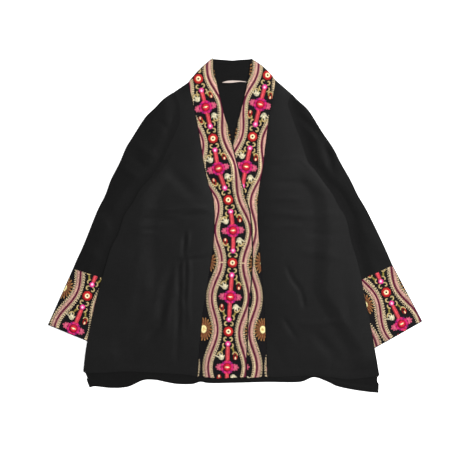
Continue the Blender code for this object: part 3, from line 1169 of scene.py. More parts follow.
class MotifLine:
    """The line on which a strip's motifs stand, half a repeat apart."""

    def __init__(self, places: tuple, first_phase: float, laid: Laid = Laid.FACE_UP) -> None:
        """Keeps the places of the motifs.

        Args:
            places: Where the motifs stand, in order.
            first_phase: Repeat count at the first place.
            laid: Which way up the strip lies.
        """
        self.knots = with_ends(np.array(places, dtype=float))
        self.first = first_phase
        self.laid = laid

    def at(self, phase: np.ndarray) -> tuple[np.ndarray, np.ndarray]:
        """Finds places on the line and how it runs there.

        Args:
            phase: Repeat counts.

        Returns:
            Places, and the change of place for a whole repeat.
        """
        way = (np.asarray(phase, dtype=float) - self.first) * 2
        index = np.clip(np.floor(way).astype(int), 0, len(self.knots) - 4)
        places = tuple(self.knots[index + offset] for offset in range(4))
        place, run = curve_at(places, (way - index)[..., None])
        return place, run * 2

    def to_plane(self, phase: np.ndarray, along: np.ndarray, across: np.ndarray) -> np.ndarray:
        """Maps chart places to the plane.

        Args:
            phase: Repeat count of the motif that a place belongs to.
            along: Millimetres further down the line.
            across: Millimetres to the side.

        Returns:
            Places on the plane.
        """
        length = np.linalg.norm(self.at(phase)[1], axis=-1)
        place, run = self.at(phase + along / length)
        unit = run / np.linalg.norm(run, axis=-1)[..., None]
        side = np.stack([-unit[..., 1], unit[..., 0]], axis=-1) * self.laid.value
        return place + np.asarray(across)[..., None] * side


class Chart:
    """Collects satin stitches as places on a motif line."""

    stitch_height = 0.42
    layer_rise = 0.38
    stitch_pitch = 1.1
    overlap = 1.12
    leaf_skew = 0.85
    scallop_depth = 0.12
    curl_steps = 8
    curl_overlap = 1.2
    curl_taper = 0.28

    def __init__(self) -> None:
        """Starts with no stitches."""
        self.rows: list[np.ndarray] = []

    def add(self, phase: np.ndarray | float, first: np.ndarray, last: np.ndarray, width: float,
            layer: int, thread: Thread) -> None:
        """Adds stitches.

        Args:
            phase: Repeat count of their motif.
            first: Along and across of their first ends.
            last: Along and across of their last ends.
            width: Width of each stitch.
            layer: How many layers of stitches lie under it.
            thread: Its thread.
        """
        count = len(first)
        sizes = (width, self.stitch_height, layer * self.layer_rise, THREADS.index(thread))
        columns = [np.broadcast_to(phase, count), *first.T, *last.T]
        columns.extend(np.full(count, size) for size in sizes)
        self.rows.append(np.stack(columns, axis=1))

    def leaf(self, phase: float, leaf: Leaf, way: int = 1, side: int = 1) -> None:
        """Fills a leaf, petal or drop with stitches across it.

        Args:
            phase: Repeat count of its motif.
            leaf: Its place, size and thread.
            way: -1 to mirror it along the line.
            side: -1 to mirror it across the line.
        """
        count = max(3, round(leaf.length / self.stitch_pitch))
        share = (np.arange(count) + 0.5) / count
        half = leaf.width / 2 * np.sin(np.pi * share ** self.leaf_skew) ** leaf.blunt
        turn = math.radians(leaf.angle)
        unit = np.array([way * math.cos(turn), side * math.sin(turn)])
        reach = half[:, None] * np.array([-unit[1], unit[0]])
        foot = np.array([way * leaf.along, side * leaf.across])
        middle = foot + share[:, None] * leaf.length * unit
        width = leaf.length / count * self.overlap
        self.add(phase, middle - reach, middle + reach, width, leaf.layer, leaf.thread)

    def ring(self, phase: float, ring: Ring, way: int = 1, side: int = 1) -> None:
        """Fills a ring or disc with stitches from its middle outwards.

        Args:
            phase: Repeat count of its motif.
            ring: Its place, size and thread.
            way: -1 to mirror it along the line.
            side: -1 to mirror it across the line.
        """
        count = max(6, round(2 * math.pi * ring.outer / self.stitch_pitch))
        turn = 2 * math.pi * np.arange(count) / count
        dent = self.scallop_depth * (1 - np.abs(np.cos(turn * ring.scallops / 2)))
        rim = ring.outer * (1 - dent)[:, None]
        unit = np.stack([np.cos(turn) * ring.stretch, np.sin(turn)], axis=1)
        middle = np.array([way * ring.along, side * ring.across])
        self.add(phase, middle + ring.inner * unit, middle + rim * unit,
                 self.stitch_pitch * self.overlap, ring.layer, ring.thread)

    def curl(self, phase: float, curl: Curl, way: int = 1, side: int = 1) -> None:
        """Sews a curl with short stitches across its line.

        Args:
            phase: Repeat count of its motif.
            curl: Its places, width and thread.
            way: -1 to mirror it along the line.
            side: -1 to mirror it across the line.
        """
        line = smooth_curve(np.array(curl.places) * np.array([way, side]), self.curl_steps)
        length = np.linalg.norm(np.diff(line, axis=0), axis=1).sum()
        count = max(3, round(length / self.stitch_pitch))
        share = (np.arange(count) + 0.5) / count
        spots = spread(line, share)
        run = np.gradient(spots, axis=0)
        aside = np.stack([-run[:, 1], run[:, 0]], axis=1) / np.linalg.norm(run, axis=1)[:, None]
        taper = (1 - self.curl_taper) + self.curl_taper * np.sin(np.pi * share)
        half = curl.width / 2 * taper[:, None] * aside
        width = length / count * self.curl_overlap
        self.add(phase, spots - half, spots + half, width, curl.layer, curl.thread)

    def motif(self, phase: float, motif: Motif) -> None:
        """Sews all copies of a motif."""
        for way, side in motif.copies:
            for leaf in motif.leaves:
                self.leaf(phase, leaf, way, side)
            for ring in motif.rings:
                self.ring(phase, ring, way, side)
            for curl in motif.curls:
                self.curl(phase, curl, way, side)

    def stitches(self) -> np.ndarray:
        """All stitches as one table."""
        return np.concatenate(self.rows)


# How the copies of a motif are mirrored: along the line, then across it.
ONCE = ((1, 1),)
ALONG_BOTH = ((1, 1), (-1, 1))
ACROSS_BOTH = ((1, 1), (1, -1))
ALL_FOUR = ((1, 1), (-1, 1), (1, -1), (-1, -1))
TURNED = ((1, 1), (-1, -1))
TURNED_BACK = ((1, -1), (-1, 1))

RED_FLOWER = (
    Motif(ONCE, rings=(
        Ring(0, 0, 7.2, 11.0, 1.0, 8, Thread.RED, 0),
        Ring(0, 0, 4.8, 8.4, 1.0, 0, Thread.RED, 1),
        Ring(0, 0, 8.2, 9.4, 1.0, 8, Thread.WINE, 1),
        Ring(0, 0, 1.9, 5.6, 1.0, 0, Thread.CREAM, 2),
        Ring(0, 0, 0.2, 2.3, 1.0, 0, Thread.DARK, 2),
    )),
    Motif(ALONG_BOTH, rings=(
        Ring(26.6, 0, 0.3, 5.6, 1.05, 0, Thread.BUD, 1),
        Ring(27.4, 0, 0.2, 2.6, 1.1, 0, Thread.BUD_LIGHT, 2),
    )),
    Motif(ALL_FOUR, leaves=(
        Leaf(25.0, 3.4, 60, 5.4, 3.4, 0.6, Thread.WINE, 0),
    ), curls=(
        Curl(3.5, Thread.GOLD, 0, ((21.6, 3.4), (20.6, 7.2), (17.4, 9.2), (14.0, 8.2),
                                   (12.8, 5.2), (15.0, 4.0))),
        Curl(3.4, Thread.GOLD, 0, ((36.0, 6.4), (33.0, 10.4), (29.0, 11.4), (25.8, 9.0))),
        Curl(4.4, Thread.MOSS, 0, ((34.0, 9.6), (37.5, 11.2), (43.0, 13.4))),
    )),
)

PINK_FLOWER = (
    Motif(ALONG_BOTH, leaves=(
        Leaf(10, 0, 0, 35, 9.4, 0.06, Thread.CORAL, 0),
        Leaf(12, -1.2, 0, 31, 4.4, 0.2, Thread.CORAL_LIGHT, 1),
    )),
    Motif(ONCE, leaves=tuple(
        Leaf(5.0 * math.cos(math.radians(turn)), 5.0 * math.sin(math.radians(turn)), turn,
             9.8, 10.6, 0.42, Thread.MAGENTA, 1)
        for turn in (22.5, 67.5, 112.5, 157.5, 202.5, 247.5, 292.5, 337.5)
    ), rings=(
        Ring(0, 0, 4.0, 13.9, 0.93, 8, Thread.MAGENTA, 0),
        Ring(0, 0, 5.4, 9.6, 1.0, 0, Thread.WINE, 2),
        Ring(0, 0, 0.4, 8.6, 1.0, 6, Thread.CRIMSON, 3),
    )),
    Motif(ALL_FOUR, leaves=(
        Leaf(7.4, 7.0, 43, 5.6, 3.6, 0.6, Thread.PURPLE, 2),
    )),
    Motif(ONCE, leaves=(
        Leaf(-1.8, 0, 0, 3.6, 11.0, 0.8, Thread.SLIT, 4),
    )),
    Motif(ACROSS_BOTH, leaves=(
        Leaf(1.5, 15.2, 8, 6.4, 5.2, 0.5, Thread.SIDE_PINK, 0),
        Leaf(1.0, 16.2, 52, 8.0, 5.6, 0.5, Thread.SIDE_PINK, 0),
        Leaf(0, 14.6, 90, 11.4, 6.0, 0.5, Thread.SIDE_PINK, 0),
        Leaf(-1.0, 16.2, 128, 8.0, 5.6, 0.5, Thread.SIDE_PINK, 0),
        Leaf(-1.5, 15.2, 172, 6.4, 5.2, 0.5, Thread.SIDE_PINK, 0),
    )),
    Motif(TURNED, leaves=(
        Leaf(15.5, 13.5, 0, 11.0, 12.0, 0.5, Thread.LEAF, 0),
        Leaf(21.0, 14.5, 22, 12.5, 4.6, 0.55, Thread.LEAF, 0),
        Leaf(21.5, 12.6, -8, 8.5, 4.2, 0.55, Thread.LEAF, 0),
        Leaf(20.5, 11.0, -38, 7.0, 3.8, 0.55, Thread.LEAF, 0),
        Leaf(19.5, 16.0, 62, 13.0, 3.4, 0.55, Thread.LEAF, 0),
    )),
    Motif(TURNED_BACK, leaves=(
        Leaf(16.5, 17.2, 0, 14.5, 9.8, 0.5, Thread.RED, 0),
        Leaf(23.4, 17.2, 0, 5.4, 5.0, 0.5, Thread.DARK, 1),
        Leaf(17.2, 17.4, 0, 6.2, 4.2, 0.5, Thread.CREAM, 1),
    )),
    Motif(ALL_FOUR, curls=(
        Curl(3.0, Thread.GOLD, 1, ((26.0, 22.4), (30.0, 20.8), (33.0, 16.6), (31.4, 12.4),
                                   (28.0, 11.2))),
    )),
)


@dataclass
class HalfSun:
    """The sun between two columns of motifs, which the seams cut in half."""

    petals: int = 18
    disc_along: float = 8.8
    disc_across: float = 6.8
    tip_along: float = 25.4
    tip_across: float = 19.0
    outline_width: float = 3.9
    outline_blunt: float = 0.35
    petal_width: float = 1.9
    petal_blunt: float = 0.4
    petal_short: float = 3.0
    ground_inset: float = 3.4
    ground_overlap: float = 1.0
    disc_hole: float = 2.4
    heart_inner: float = 0.3
    heart_outer: float = 2.8

    def sew(self, chart: Chart, phase: float, across: float) -> None:
        """Sews the sun.

        Args:
            chart: Takes the stitches.
            phase: Repeat count of the red flower beside it.
            across: Its middle, to the side.
        """
        for petal in range(self.petals):
            turn = 2 * math.pi * (petal + 0.5) / self.petals
            unit = np.array([math.cos(turn), math.sin(turn)])
            foot = np.array([self.disc_along, self.disc_across]) * unit
            run = np.array([self.tip_along, self.tip_across]) * unit - foot
            angle = math.degrees(math.atan2(run[1], run[0]))
            reach = float(np.linalg.norm(run))
            place = (float(foot[0]), across + float(foot[1]), angle)
            chart.leaf(phase, Leaf(*place, reach, self.outline_width, self.outline_blunt,
                                   Thread.TAN, 1))
            chart.leaf(phase, Leaf(*place, reach - self.petal_short, self.petal_width,
                                   self.petal_blunt, Thread.RUST, 2))
        chart.ring(phase, Ring(0, across, self.disc_across - self.ground_overlap,
                               self.tip_across - self.ground_inset,
                               self.tip_along / self.tip_across, 0, Thread.UMBER, 0))
        stretch = self.disc_along / self.disc_across
        chart.ring(phase, Ring(0, across, self.disc_hole, self.disc_across, stretch, 0,
                               Thread.DISC, 2))
        chart.ring(phase, Ring(0, across, self.heart_inner, self.heart_outer, stretch, 0,
                               Thread.DISC_DARK, 3))


@dataclass
class BorderChart:
    """The border's repeat: wavy ribbons, red and pink flowers, leaves, buds and half suns."""

    first_phase: float
    last_phase: float
    sun_phases: tuple[float, ...]
    joins: tuple[float, ...] = ()
    ribbon_offset: float = 32.0
    ribbon_swing: float = 8.8
    offset_gain: float = 0.0
    swing_gain: float = 0.0
    gain_start: float = 3.0
    column_spacing: float = 112.0
    repeat: float = 146.0
    sun_across: float = 54.5
    widest: float = 100.0
    join_length: float = 6.4
    join_width: float = 2.6
    join_blunt: float = 0.3
    ribbon_rows: tuple[RibbonRow, ...] = (
        RibbonRow(-1.9, 1.9, Thread.MAROON, 1.1, 1.2, 1, 0.1),
        RibbonRow(1.4, 8.4, Thread.ROSE, 1.1, 1.2, 0, 0.1),
        RibbonRow(-3.4, -1.4, Thread.ROSE, 1.1, 1.2, 0, 0.1),
        RibbonRow(8.1, 11.4, Thread.BEIGE, 1.1, 1.2, 0, 0.1),
        RibbonRow(-8.9, -3.1, Thread.BEIGE, 1.1, 1.2, 0, 0.1),
        RibbonRow(8.8, 11.0, Thread.OLIVE, 5.2, 2.5, 1, 0.2),
        RibbonRow(-8.1, -5.9, Thread.OLIVE, 5.2, 2.5, 1, 0.2),
        RibbonRow(11.2, 12.6, Thread.BEIGE, 4.6, 2.7, 0, 0.1),
        RibbonRow(-9.9, -8.7, Thread.BEIGE, 4.6, 2.7, 0, 0.1),
    )
    seed: int = 11
    sun: HalfSun = field(default_factory=HalfSun)

    def ribbon(self, chart: Chart, column: float, side: int) -> None:
        """Sews one wavy ribbon.

        Args:
            chart: Takes the stitches.
            column: Middle of its column of motifs, to the side.
            side: Which side of the column it runs on, -1 or 1.
        """
        random = np.random.default_rng(self.seed)
        span = self.last_phase - self.first_phase
        for row in self.ribbon_rows:
            count = round(span * self.repeat / row.pitch)
            spot = np.arange(count) + 0.5 + row.jitter * (random.random(count) - 0.5)
            phase = self.first_phase + spot / count * span
            turn = 2 * np.pi * phase
            below = phase - self.gain_start
            swing = self.ribbon_swing + self.swing_gain * below
            offset = self.ribbon_offset + self.offset_gain * below - swing * np.cos(turn)
            middle = column + side * offset
            shift = swing * 2 * np.pi / self.repeat * np.sin(turn)
            first, last = (np.stack([-shift * reach, middle + side * reach], axis=1)
                           for reach in (row.start, row.end))
            chart.add(phase, first, last, row.width, row.layer, row.thread)

    def join(self, chart: Chart, phase: float, side: int) -> None:
        """Marks where two lengths of a ribbon are joined, with pale stitches over its dark line."""
        start = self.ribbon_offset - self.ribbon_swing - self.join_length / 2
        chart.leaf(phase, Leaf(0, start, 90, self.join_length, self.join_width, self.join_blunt,
                               Thread.CREAM, 2), 1, side)

    def draw(self) -> Chart:
        """Draws the whole border.

        Returns:
            The chart with all its stitches.
        """
        chart = Chart()
        for column in (-self.column_spacing, 0.0, self.column_spacing):
            for side in (-1, 1):
                if abs(column + side * self.ribbon_offset) < self.widest:
                    self.ribbon(chart, column, side)
        start, stop = math.ceil(self.first_phase * 2), math.floor(self.last_phase * 2)
        for count in range(start, stop + 1):
            phase = count / 2
            for motif in PINK_FLOWER if count % 2 else RED_FLOWER:
                chart.motif(phase, motif)
        for phase in self.sun_phases:
            for side in (-1, 1):
                self.sun.sew(chart, phase, side * self.sun_across)
        for phase in self.joins:
            for side in (-1, 1):
                self.join(chart, phase, side)
        return chart


@dataclass
class Embroidery:
    """Satin stitches laid on one side of a strip of cloth."""

    name: str
    line: MotifLine
    outline: np.ndarray
    surface: Callable[[np.ndarray], np.ndarray]
    keep: Callable[[np.ndarray], np.ndarray] | None = None
    relief: float = 1.0
    sunk: float = 0.12
    clip_steps: int = 12
    least_spots: int = 4
    shortest: float = 0.6
    sections: tuple[StitchRow, ...] = (
        StitchRow(0.0, 0.8, 0.35), StitchRow(0.5, 1.0, 1.0), StitchRow(1.0, 0.8, 0.35),
    )

    def build(self, workshop: Workshop, chart: Chart) -> bpy.types.Object:
        """Makes the stitches as one mesh.

        Args:
            workshop: Makes the object.
            chart: Holds the stitches.

        Returns:
            The embroidery.
        """
        rows = chart.stitches()
        first = self.line.to_plane(rows[:, 0], rows[:, 1], rows[:, 2])
        last = self.line.to_plane(rows[:, 0], rows[:, 3], rows[:, 4])
        first, last, kept = self.clip(first, last)
        return self.mesh(workshop, first, last, rows[kept])

    def clip(self, first: np.ndarray, last: np.ndarray) -> tuple:
        """Cuts the stitches at the strip's edges.

        Args:
            first: First ends.
            last: Last ends.

        Returns:
            New first ends, new last ends and the numbers of the stitches that are left.
        """
        run = last - first
        steps = even(self.clip_steps)
        spots = first[:, None] + steps[None, :, None] * run[:, None]
        within = inside(spots.reshape(-1, 2), self.outline).reshape(spots.shape[:2])
        if self.keep is not None:
            within &= self.keep(spots)
        enough = within.sum(axis=1) >= self.least_spots
        low = steps[np.argmax(within, axis=1)]
        high = steps[len(steps) - 1 - np.argmax(within[:, ::-1], axis=1)]
        new_first = first + low[:, None] * run
        new_last = first + high[:, None] * run
        long_enough = np.linalg.norm(new_last - new_first, axis=1) > self.shortest
        kept = np.nonzero(enough & long_enough)[0]
        return new_first[kept], new_last[kept], kept

    def mesh(self, workshop: Workshop, first: np.ndarray, last: np.ndarray,
             rows: np.ndarray) -> bpy.types.Object:
        """Makes a small closed ridge for each stitch.

        Args:
            workshop: Makes the object.
            first: First ends.
            last: Last ends.
            rows: The stitches' sizes and threads.

        Returns:
            The embroidery.
        """
        run = last - first
        length = np.linalg.norm(run, axis=1)
        side = np.stack([-run[:, 1], run[:, 0]], axis=1) / length[:, None]
        face = self.line.laid.value
        width, height, lift, thread_of = rows[:, 5:].T
        points = np.zeros((len(first), 3, 3, 3))
        for step, section in enumerate(self.sections):
            middle = first + section.share * run
            base = self.surface(middle)
            for corner, across in enumerate((-0.5, 0.0, 0.5)):
                spot = middle + (across * section.width * width)[:, None] * side
                top = lift + (section.height * height if corner == 1 else -self.sunk)
                points[:, step, corner] = add_heights(spot, base + face * (top * self.relief))
        faces = []
        for start in (0, 3):
            for one, two in ((0, 1), (1, 2), (2, 0)):
                faces.append((start + one, start + two, start + 3 + two, start + 3 + one))
        faces += [(0, 2, 1), (6, 7, 8)]
        return self.assemble(workshop, points.reshape(-1, 3), faces, thread_of.astype(int), length)

    def assemble(self, workshop: Workshop, points: np.ndarray, faces: list,
                 thread_of: np.ndarray, length: np.ndarray) -> bpy.types.Object:
        """Joins the stitches into one mesh with a thread material for each.

        Args:
            workshop: Makes the object.
            points: Nine points for each stitch.
            faces: Corners of each face of one stitch.
            thread_of: Thread number of each stitch.
            length: Length of each stitch.

        Returns:
            The embroidery.
        """
        count = len(thread_of)
        flip = self.line.laid is Laid.FACE_UP
        shapes = [face[::-1] if flip else face for face in faces]
        corners = np.concatenate([np.array(shape) for shape in shapes])
        sizes = np.array([len(shape) for shape in shapes])
        starts = np.concatenate([[0], np.cumsum(sizes)[:-1]])
        base = np.arange(count)[:, None]
        mesh = bpy.data.meshes.new(self.name)
        mesh.vertices.add(len(points))
        mesh.vertices.foreach_set("co", workshop.place(points).ravel())
        mesh.loops.add(count * len(corners))
        mesh.loops.foreach_set("vertex_index", (corners[None] + base * 9).ravel())
        mesh.polygons.add(count * len(shapes))
        mesh.polygons.foreach_set("loop_start", (starts[None] + base * len(corners)).ravel())
        used = sorted(set(thread_of.tolist()))
        slots = np.zeros(len(THREADS), dtype=int)
        for slot, number in enumerate(used):
            slots[number] = slot
            mesh.materials.append(workshop.finishes.thread(THREADS[number]))
        mesh.polygons.foreach_set("material_index", np.repeat(slots[thread_of], len(shapes)))
        layer = mesh.uv_layers.new(name="along_stitch")
        down = (corners // 3)[None] / 2 * length[:, None]
        across = np.broadcast_to((corners % 3)[None] / 2, down.shape)
        layer.data.foreach_set("uv", np.stack([down, across], axis=-1).ravel())
        mesh.update()
        mesh.validate()
        mesh.shade_smooth()
        piece = put(self.name, mesh)
        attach(piece, ROOT)
        LOG.info("%s: %d stitches", self.name, count)
        return piece


@dataclass
class BodyPanels:
    """Back panel and fronts."""

    hem_width: float = 12.0
    hem_thickness: float = 0.35
    hem_fade: float = 2.5
    side_power: float = 1.5
    seam_power: float = 4.0
    end_power: float = 6.0
    least_puff: float = 0.06
    puff_start: float = 40.0
    puff_fade: float = 130.0
    crinkle_height: float = 0.22
    broad_share: float = 0.65
    fine_share: float = 0.35

    def build(self, cut: Cut, workshop: Workshop) -> None:
        """Makes and dresses the three body panels.

        Args:
            cut: The jacket's lines.
            workshop: Makes the pieces.
        """
        right_grid = cut.front_grid(cut.right, cut.right_seam, cut.right_hem)
        left_grid = cut.front_grid(cut.left, cut.left_seam, cut.left_hem)
        grid = cut.back_grid(right_grid, left_grid)
        back = workshop.sheet("back_panel", grid, cut.lift(grid), cut.cloth, INNER_SILK,
                              self.turned_hem(grid))
        self.front("front_right", cut, right_grid, -cut.seam, workshop)
        self.front("front_left", cut, left_grid, cut.seam, workshop)

    def turned_hem(self, grid: np.ndarray) -> np.ndarray:
        """Gives the extra thickness of the hem along a panel's lower edge.

        Args:
            grid: The panel's places.

        Returns:
            A height for each place.
        """
        above = np.linalg.norm(grid - grid[-1:], axis=-1)
        return self.hem_thickness * smooth_step((self.hem_width - above) / self.hem_fade)

    def crinkle(self, points: np.ndarray) -> np.ndarray:
        """Gives the slight uneven waves of thin cloth that lies loose.

        Args:
            points: Places on the cloth.

        Returns:
            A height, never below nought, for each place.
        """
        broad = self.broad_share * ripple(points, (31, 47, 38, 53), (1.7, 1.3))
        fine = self.fine_share * ripple(points, (13, 23, 17, 29), (2.1, -1.1))
        return self.crinkle_height * (1.0 + broad + fine)

    def front(self, node: str, cut: Cut, grid: np.ndarray, shift: float,
              workshop: Workshop) -> None:
        """Makes one front panel with its folds.

        Args:
            node: The node that it stands for.
            cut: The jacket's lines.
            grid: Its places.
            shift: How far its band seam is moved to leave the seam's gap.
            workshop: Makes the piece.
        """
        down = even(grid.shape[0] - 1)[:, None]
        across = even(grid.shape[1] - 1)[None]
        offset = 2 * across - 1
        side_cover = np.where(across < 0.5, np.abs(offset) ** self.side_power,
                              offset ** self.seam_power)
        cover = (1 - side_cover) * (1 - (2 * down - 1) ** self.end_power)
        width = np.linalg.norm(grid[:, -1] - grid[:, 0], axis=-1)[:, None]
        fullness = smooth_step((width - self.puff_start) / self.puff_fade)
        puff = cut.front_puff * (self.least_puff + (1 - self.least_puff) * fullness)
        folds = puff + cut.fold_strength * fold_heights(grid, cut.folds)
        bottom = cut.front_base(grid) + np.maximum(folds * cover, 0.0) + self.crinkle(grid) * cover
        trimmed = grid.copy()
        trimmed[:, -1, 0] += shift
        piece = workshop.sheet(node, trimmed, bottom, cut.cloth, SILK, self.turned_hem(grid))


@dataclass
class Sleeves:
    """Both sleeves with their embroidered cuffs."""

    underside_raised: float = 0.7
    underside_relief: float = 0.34
    outline_inset: float = 0.02
    seam_reach: float = 4.0
    first_phase: float = -0.5
    last_phase: float = 1.0
    sun_phases: tuple[float, ...] = (0.02,)
    column_spacing: float = 109.0
    rows: tuple[SleeveRow, ...] = (
        SleeveRow("right", (0.26, 0.47), 0.072,
                  ((-294.8, -84.6), (-325.0, -156.0), (-355.2, -227.4), (-385.4, -298.8))),
        SleeveRow("left", (0.23, 0.47), 0.060,
                  ((297.7, -78.7), (331.6, -148.0), (365.5, -217.3), (399.4, -286.6))),
    )

    def build(self, cut: Cut, workshop: Workshop) -> None:
        """Makes and dresses both sleeves and cuffs.

        Args:
            cut: The jacket's lines.
            workshop: Makes the pieces.
        """
        for row, side in zip(self.rows, (cut.right, cut.left)):
            lower, upper = side.tube(side.sleeve_stations(), cut.cloth)
            sleeve = workshop.wall(f"sleeve_{row.word}", lower, upper, SHADED_SLEEVE_SILK)
            stations = side.cuff_stations(side.cuff_rows)
            lower, upper = side.tube(stations, cut.cuff_cloth, self.underside_raised)
            cuff = workshop.wall(f"cuff_{row.word}", lower, upper, GROUND)
            self.decorate(row, side, cut, workshop, cuff)

    def decorate(self, row: SleeveRow, side: Side, cut: Cut, workshop: Workshop,
                 cuff: bpy.types.Object) -> None:
        """Sews the border on both sides of a cuff.

        Args:
            row: Which sleeve it is, and where the motifs stand.
            side: The side that it belongs to.
            cut: The jacket's lines.
            workshop: Makes the pieces.
            cuff: The cuff's cloth; not used.
        """
        chart = BorderChart(self.first_phase, self.last_phase, self.sun_phases,
                            column_spacing=self.column_spacing).draw()
        outline = side.cuff_outline()
        inset = outline + (outline.mean(axis=0) - outline) * self.outline_inset
        top = Embroidery(
            f"cuff_{row.word}_stitches", MotifLine(row.places, self.first_phase), inset,
            lambda spots: side.tube_top(spots, cut.cuff_cloth),
            keep=lambda spots: side.outside(spots) > -self.seam_reach,
        ).build(workshop, chart)
        under = Embroidery(
            f"cuff_{row.word}_under_stitches",
            MotifLine(row.places, self.first_phase, Laid.FACE_DOWN), inset,
            lambda spots: np.full(spots.shape[:-1], self.underside_raised),
            relief=self.underside_relief,
        ).build(workshop, chart)


@dataclass
class Bands:
    """Front bands, neck band, its facing and the blank label strip."""

    first_phase: float = -0.5
    last_phase: float = 5.0
    ribbon_offset: float = 31.3
    ribbon_swing: float = 8.1
    offset_gain: float = 1.0
    swing_gain: float = 0.6
    joins: tuple[float, ...] = (3.0,)
    edge_margin: float = 0.5
    shoulder_inset: float = 0.15
    # Width of the bare strip of dark ground left beside the top band's edge: a painted shadow of
    # that band.
    shadow_gap: float = 1.6
    neck_columns: int = 48
    neck_rows: int = 14
    facing_lap: float = 0.3
    ridge_height: float = 0.3
    ridge_start: float = 0.02
    ridge_end: float = 0.16
    ridge_fade: float = 0.05
    label_ends: tuple[float, float] = (-28.0, 25.0)
    label_y: float = 313.5
    label_cloth: float = 0.6
    label_columns: int = 32
    label_shares: tuple[float, ...] = (1.0, 0.7, 0.3, 0.0)
    label_rows: tuple[LabelRow, ...] = (
        LabelRow(0.0, 0.2, -0.6), LabelRow(0.1, 1.8, -1.1), LabelRow(0.22, 3.3, -1.2),
        LabelRow(0.4, 4.0, -1.0), LabelRow(0.72, 3.4, 1.2), LabelRow(0.93, 2.0, 0.6),
        LabelRow(1.0, 0.6, 0.0),
    )
    borders: tuple[BandBorder, ...] = (
        BandBorder("band_left", False, (0.0, 1.0, 2.0, 3.0, 3.962), 112.0, 53.4,
                   ((85, 391), (71, 329), (55, 265), (38, 194), (24, 128), (12, 59), (7, -11),
                    (8, -84), (8, -159), (7, -235), (6, -312), (6, -388))),
        BandBorder("band_right", True, (0.0, 1.0, 2.0, 3.0, 3.982), 114.0, 54.4,
                   ((-97, 383), (-81, 321), (-65, 259), (-49, 190), (-37, 124), (-15.3, 55),
                    (-5.2, -12.2), (-6, -83), (-10.9, -158), (-15, -234), (-17.7, -312.5),
                    (-20, -388))),
    )

    def build(self, cut: Cut, workshop: Workshop) -> None:
        """Makes and dresses the bands and the neck.

        Args:
            cut: The jacket's lines.
            workshop: Makes the pieces.
        """
        lines = ((cut.left_seam, cut.left_edge), (cut.right_seam, cut.right_edge))
        for border, (seam, edge) in zip(self.borders, lines):
            grid = cut.band_grid(seam, edge)
            band = workshop.sheet(border.node, grid, cut.band_bottom(grid, border.on_top),
                                  cut.band_cloth, GROUND)
            self.decorate(border, cut, workshop, grid, band)
        self.neck(cut, workshop)

    def decorate(self, border: BandBorder, cut: Cut, workshop: Workshop, grid: np.ndarray,
                 band: bpy.types.Object) -> None:
        """Sews the border on a front band.

        Args:
            border: Which band it is, and its border.
            cut: The jacket's lines.
            workshop: Makes the pieces.
            grid: The band's places.
            band: The band's cloth; not used.
        """
        across = grid[:, -1:] - grid[:, :1]
        across = self.edge_margin * across / np.linalg.norm(across, axis=-1, keepdims=True)
        inner = np.concatenate([grid[:, :1] + across, grid[:, 1:-1], grid[:, -1:] - across], axis=1)
        inner[0] += self.shoulder_inset * (inner[1] - inner[0])
        outline = np.vstack([inner[:, 0], inner[-1], inner[::-1, -1], inner[0, ::-1]])

        def seen(spots: np.ndarray) -> np.ndarray:
            """Keeps the stitches that the other band doesn't cover, and leaves a bare strip of dark
            ground beside its edge as a painted shadow of that band.
            """
            cover_x = np.interp(spots[..., 1], cut.right_edge[::-1, 1], cut.right_edge[::-1, 0])
            return spots[..., 0] > cover_x + self.shadow_gap

        chart = BorderChart(
            self.first_phase, self.last_phase, border.sun_phases, self.joins,
            self.ribbon_offset, self.ribbon_swing, self.offset_gain, self.swing_gain,
            column_spacing=border.column_spacing, sun_across=border.sun_across,
        ).draw()
        stitches = Embroidery(
            f"{border.node}_stitches", MotifLine(border.places, self.first_phase), outline,
            lambda spots: cut.band_bottom(spots, border.on_top) + cut.band_cloth,
            keep=None if border.on_top else seen,
        ).build(workshop, chart)

    def neck(self, cut: Cut, workshop: Workshop) -> None:
        """Makes the neck band, its black facing and the blank label strip.

        Args:
            cut: The jacket's lines.
            workshop: Makes the pieces.
        """
        rows = np.array(cut.neck_rows)
        seam, fold = (spread(ends, even(self.neck_columns)) for ends in (rows[:, :2], rows[:, 2:]))
        down = even(self.neck_rows)
        places = fold[None] + down[:, None, None] * (seam - fold)[None]
        level = np.zeros(places.shape[:2])
        band = workshop.sheet("neck_band", places, level, cut.cloth, GROUND)
        facing_level = cut.cloth + cut.gap
        ridge = (self.ridge_height * smooth_step((down - self.ridge_start) / self.ridge_fade)
                 * smooth_step((self.ridge_end - down) / self.ridge_fade))
        lapped = places.copy()
        lapped[-1, :, 1] -= cut.neck_seam + self.facing_lap
        facing = workshop.sheet("neck_facing", lapped, level + facing_level, cut.cloth, FACING,
                                level + ridge[:, None])
        self.label(workshop, facing_level + cut.cloth + cut.gap)

    def label(self, workshop: Workshop, level: float) -> None:
        """Makes the blank label strip.

        Args:
            workshop: Makes the piece.
            level: Height of its lower side.
        """
        x = np.linspace(*self.label_ends, self.label_columns + 1)
        share, above, below = np.array(self.label_rows).T
        upper, lower = (np.interp(even(self.label_columns), share, reach)
                        for reach in (above, below))
        places = np.stack([np.stack([x, self.label_y + lower + way * (upper - lower)], axis=1)
                           for way in self.label_shares])
        strip = workshop.sheet("label_strip", places, np.full(places.shape[:2], level),
                               self.label_cloth, TAPE)


